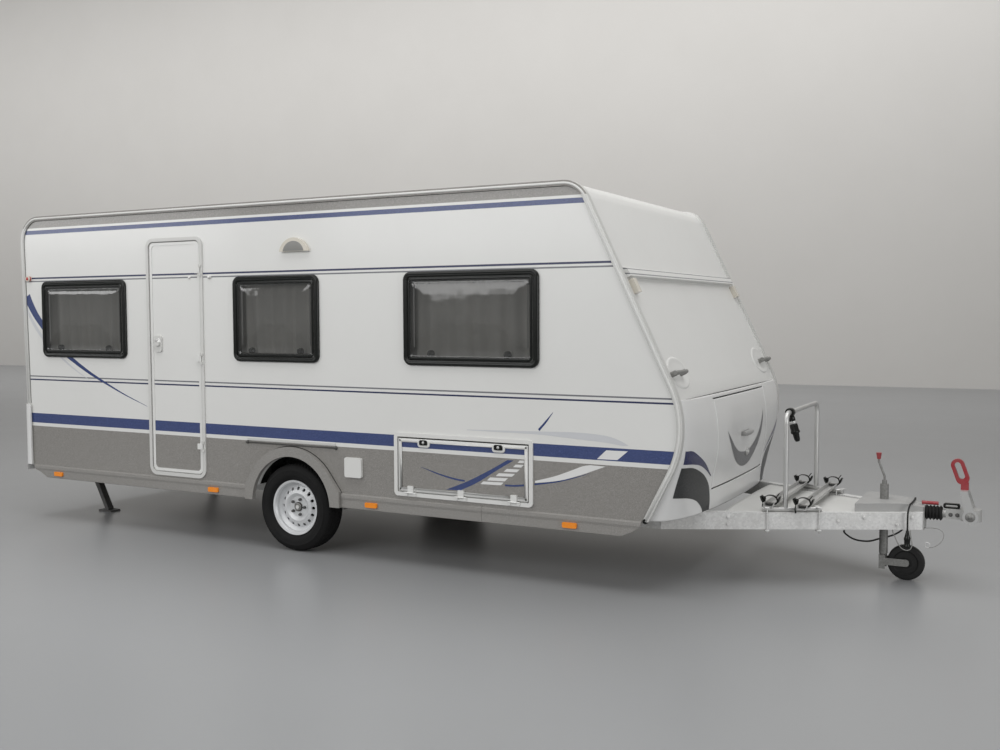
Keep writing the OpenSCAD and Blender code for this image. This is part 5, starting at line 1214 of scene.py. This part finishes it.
# %% Door lock, catches and handle bosses
DOOR_CATCH_Z, BOSS_Y, BOSS_Z, BOSS_WIDE, BOSS_TALL = 1948, 940.0, 1318, 0.165, 0.1
rose = mm((0, 16), (9, 16), (10, 15), (11, 13.4), (27, 13.4), (31, 12.6), (32.5, 11), (32.5, 10), (0, 10))
catch = mm((0, 20), (6, 20), (10, 17), (11, 12), (8, 9), (8, 6), (15, 4), (16, 0), (0, 0))
# Columns: name, profile, place along the wall and height, body, slot, finish, turns
for name, profile, x, z, body, slot, material, turns in (
        ("door_lock_rose", rose, -1264, 1470, "entrance_door", "rail_alloy", rail_alloy, 44),
        ("door_catch", catch, -740, DOOR_CATCH_Z, "caravan", "white_plastic", white_plastic, 28),
        ("door_keeper", catch * [0.8, 0.5], -940, DOOR_CATCH_Z, "entrance_door", "white_plastic",
         white_plastic, 28)):
    turned(name, profile, [(on_wall("right", x, 0, z), (0, -1, 0))], body, material, turns)
SLOPE_N = np.array([math.cos(FRONT_SLOPE), 0, math.sin(FRONT_SLOPE)])
SLOPE_U = np.array([-math.sin(FRONT_SLOPE), 0, math.cos(FRONT_SLOPE)])


def boss_part(y):
    """A shallow oval dish on the front slope: rings of growing size, raised at the lip and sunk to nothing
    outside."""
    t = np.linspace(0, 2 * np.pi, 56, endpoint=False)[:, None, None]
    size = np.array([0.0, 0.35, 0.62, 0.8, 0.9, 0.96, 1.0, 1.05])[None, :, None]
    lift = np.array([0.8, 0.9, 1.4, 3.4, 5.6, 5.4, 3.2, -0.5])[None, :, None] / 1000
    oval = BOSS_WIDE * np.cos(t) * np.array([0, 1.0, 0]) + BOSS_TALL * np.sin(t) * SLOPE_U
    return surface(place(nose_x(BOSS_Z), y, BOSS_Z) + size * oval + lift * SLOPE_N, True)


bosses = join([boss_part(y) for y in (-BOSS_Y, BOSS_Y)])
piece("handle_bosses", bosses, "caravan", plain_sheet, facing=(1, 0, 0))
foot_cap = mm((0, 5), (13, 5), (17, 3), (18, 0), (18, -4), (0, -4))
foot_x = float(nose_x(456)) - 8
at_feet = [(place(foot_x, side * (HALF_W + 6), 452), (0.45, side, -0.6)) for side in (-1, 1)]
turned("rail_foot_caps", foot_cap, at_feet, "caravan", black_plastic, 14)
castor_cap = mm((0, 33), (8, 33), (13, 31), (15, 29.2), (21, 29.2), (24, 28), (24, 22), (0, 22))
turned("castor_caps", castor_cap, on_both_sides(3926, 0, 110), "jockey_fork", zinc_steel, 32)
print("fittings made")

# %% [markdown]
# Studio: a plain pale floor that keeps the shadow, a plain wall far behind, and broad soft lamps overhead and
# beside the camera, at a level where a colour renders about as it is written.

# %% Studio
scene = bpy.context.scene
scene.view_settings.view_transform = "Standard"
world = bpy.data.worlds.new("studio")
scene.world = world
world.use_nodes = True
world.node_tree.nodes["Background"].inputs[0].default_value = rgb(0.82, 0.82, 0.82)
world.node_tree.nodes["Background"].inputs[1].default_value = 0.36


def stage_sheet(name, corners, colour, roughness):
    mesh = bpy.data.meshes.new(name)
    mesh.from_pydata(corners, [], [(0, 1, 2, 3)])
    thing = bpy.data.objects.new(name, mesh)
    scene.collection.objects.link(thing)
    mesh.materials.append(finish(name, colour, roughness, soil_amount=0.05, soil_scale=0.6))


FLOOR, WALL_LEFT, WALL_RIGHT, WALL_TOP = 40, (-60, 15.0), (60, 21.0), 30
stage_sheet("floor", [(-FLOOR, -FLOOR, 0), (FLOOR, -FLOOR, 0), (FLOOR, FLOOR, 0), (-FLOOR, FLOOR, 0)],
            (0.29, 0.295, 0.30), 0.32)
stage_sheet("back_wall", [(*WALL_LEFT, 0), (*WALL_RIGHT, 0), (*WALL_RIGHT, WALL_TOP), (*WALL_LEFT, WALL_TOP)],
            (0.60, 0.585, 0.56), 0.7)


def soft_lamp(name, at, towards, size, watts):
    lamp = bpy.data.objects.new(name, bpy.data.lights.new(name, "AREA"))
    lamp.data.shape = "RECTANGLE"
    lamp.data.size, lamp.data.size_y = size
    lamp.data.energy = watts
    scene.collection.objects.link(lamp)
    back = unit(np.array(at, float) - np.array(towards, float))
    side = unit(np.cross([0.0, 1.0, 0.0] if abs(back[2]) > 0.9 else [0.0, 0.0, 1.0], back))
    turn = np.eye(4)
    turn[:3, 0], turn[:3, 1], turn[:3, 2], turn[:3, 3] = side, np.cross(back, side), back, at
    lamp.matrix_world = Matrix(turn.tolist())


soft_lamp("ceiling", (0, -1.0, 7.5), (0, -1.0, 0), (12, 8), 600)
soft_lamp("near_side", (-2.5, -10.0, 5.0), (-0.5, 0, 1.0), (9, 5), 390)
soft_lamp("far_side", (-13.0, -9.5, 4.2), (-2.8, 0, 1.2), (6, 2.4), 160)
soft_lamp("wall_wash", (-15.0, 9.5, 11.0), (-16.0, 17.5, 3.0), (44, 3), 2000)
soft_lamp("nose_side", (10.5, -4.0, 2.6), (2.6, 0, 0.7), (5, 4), 230)
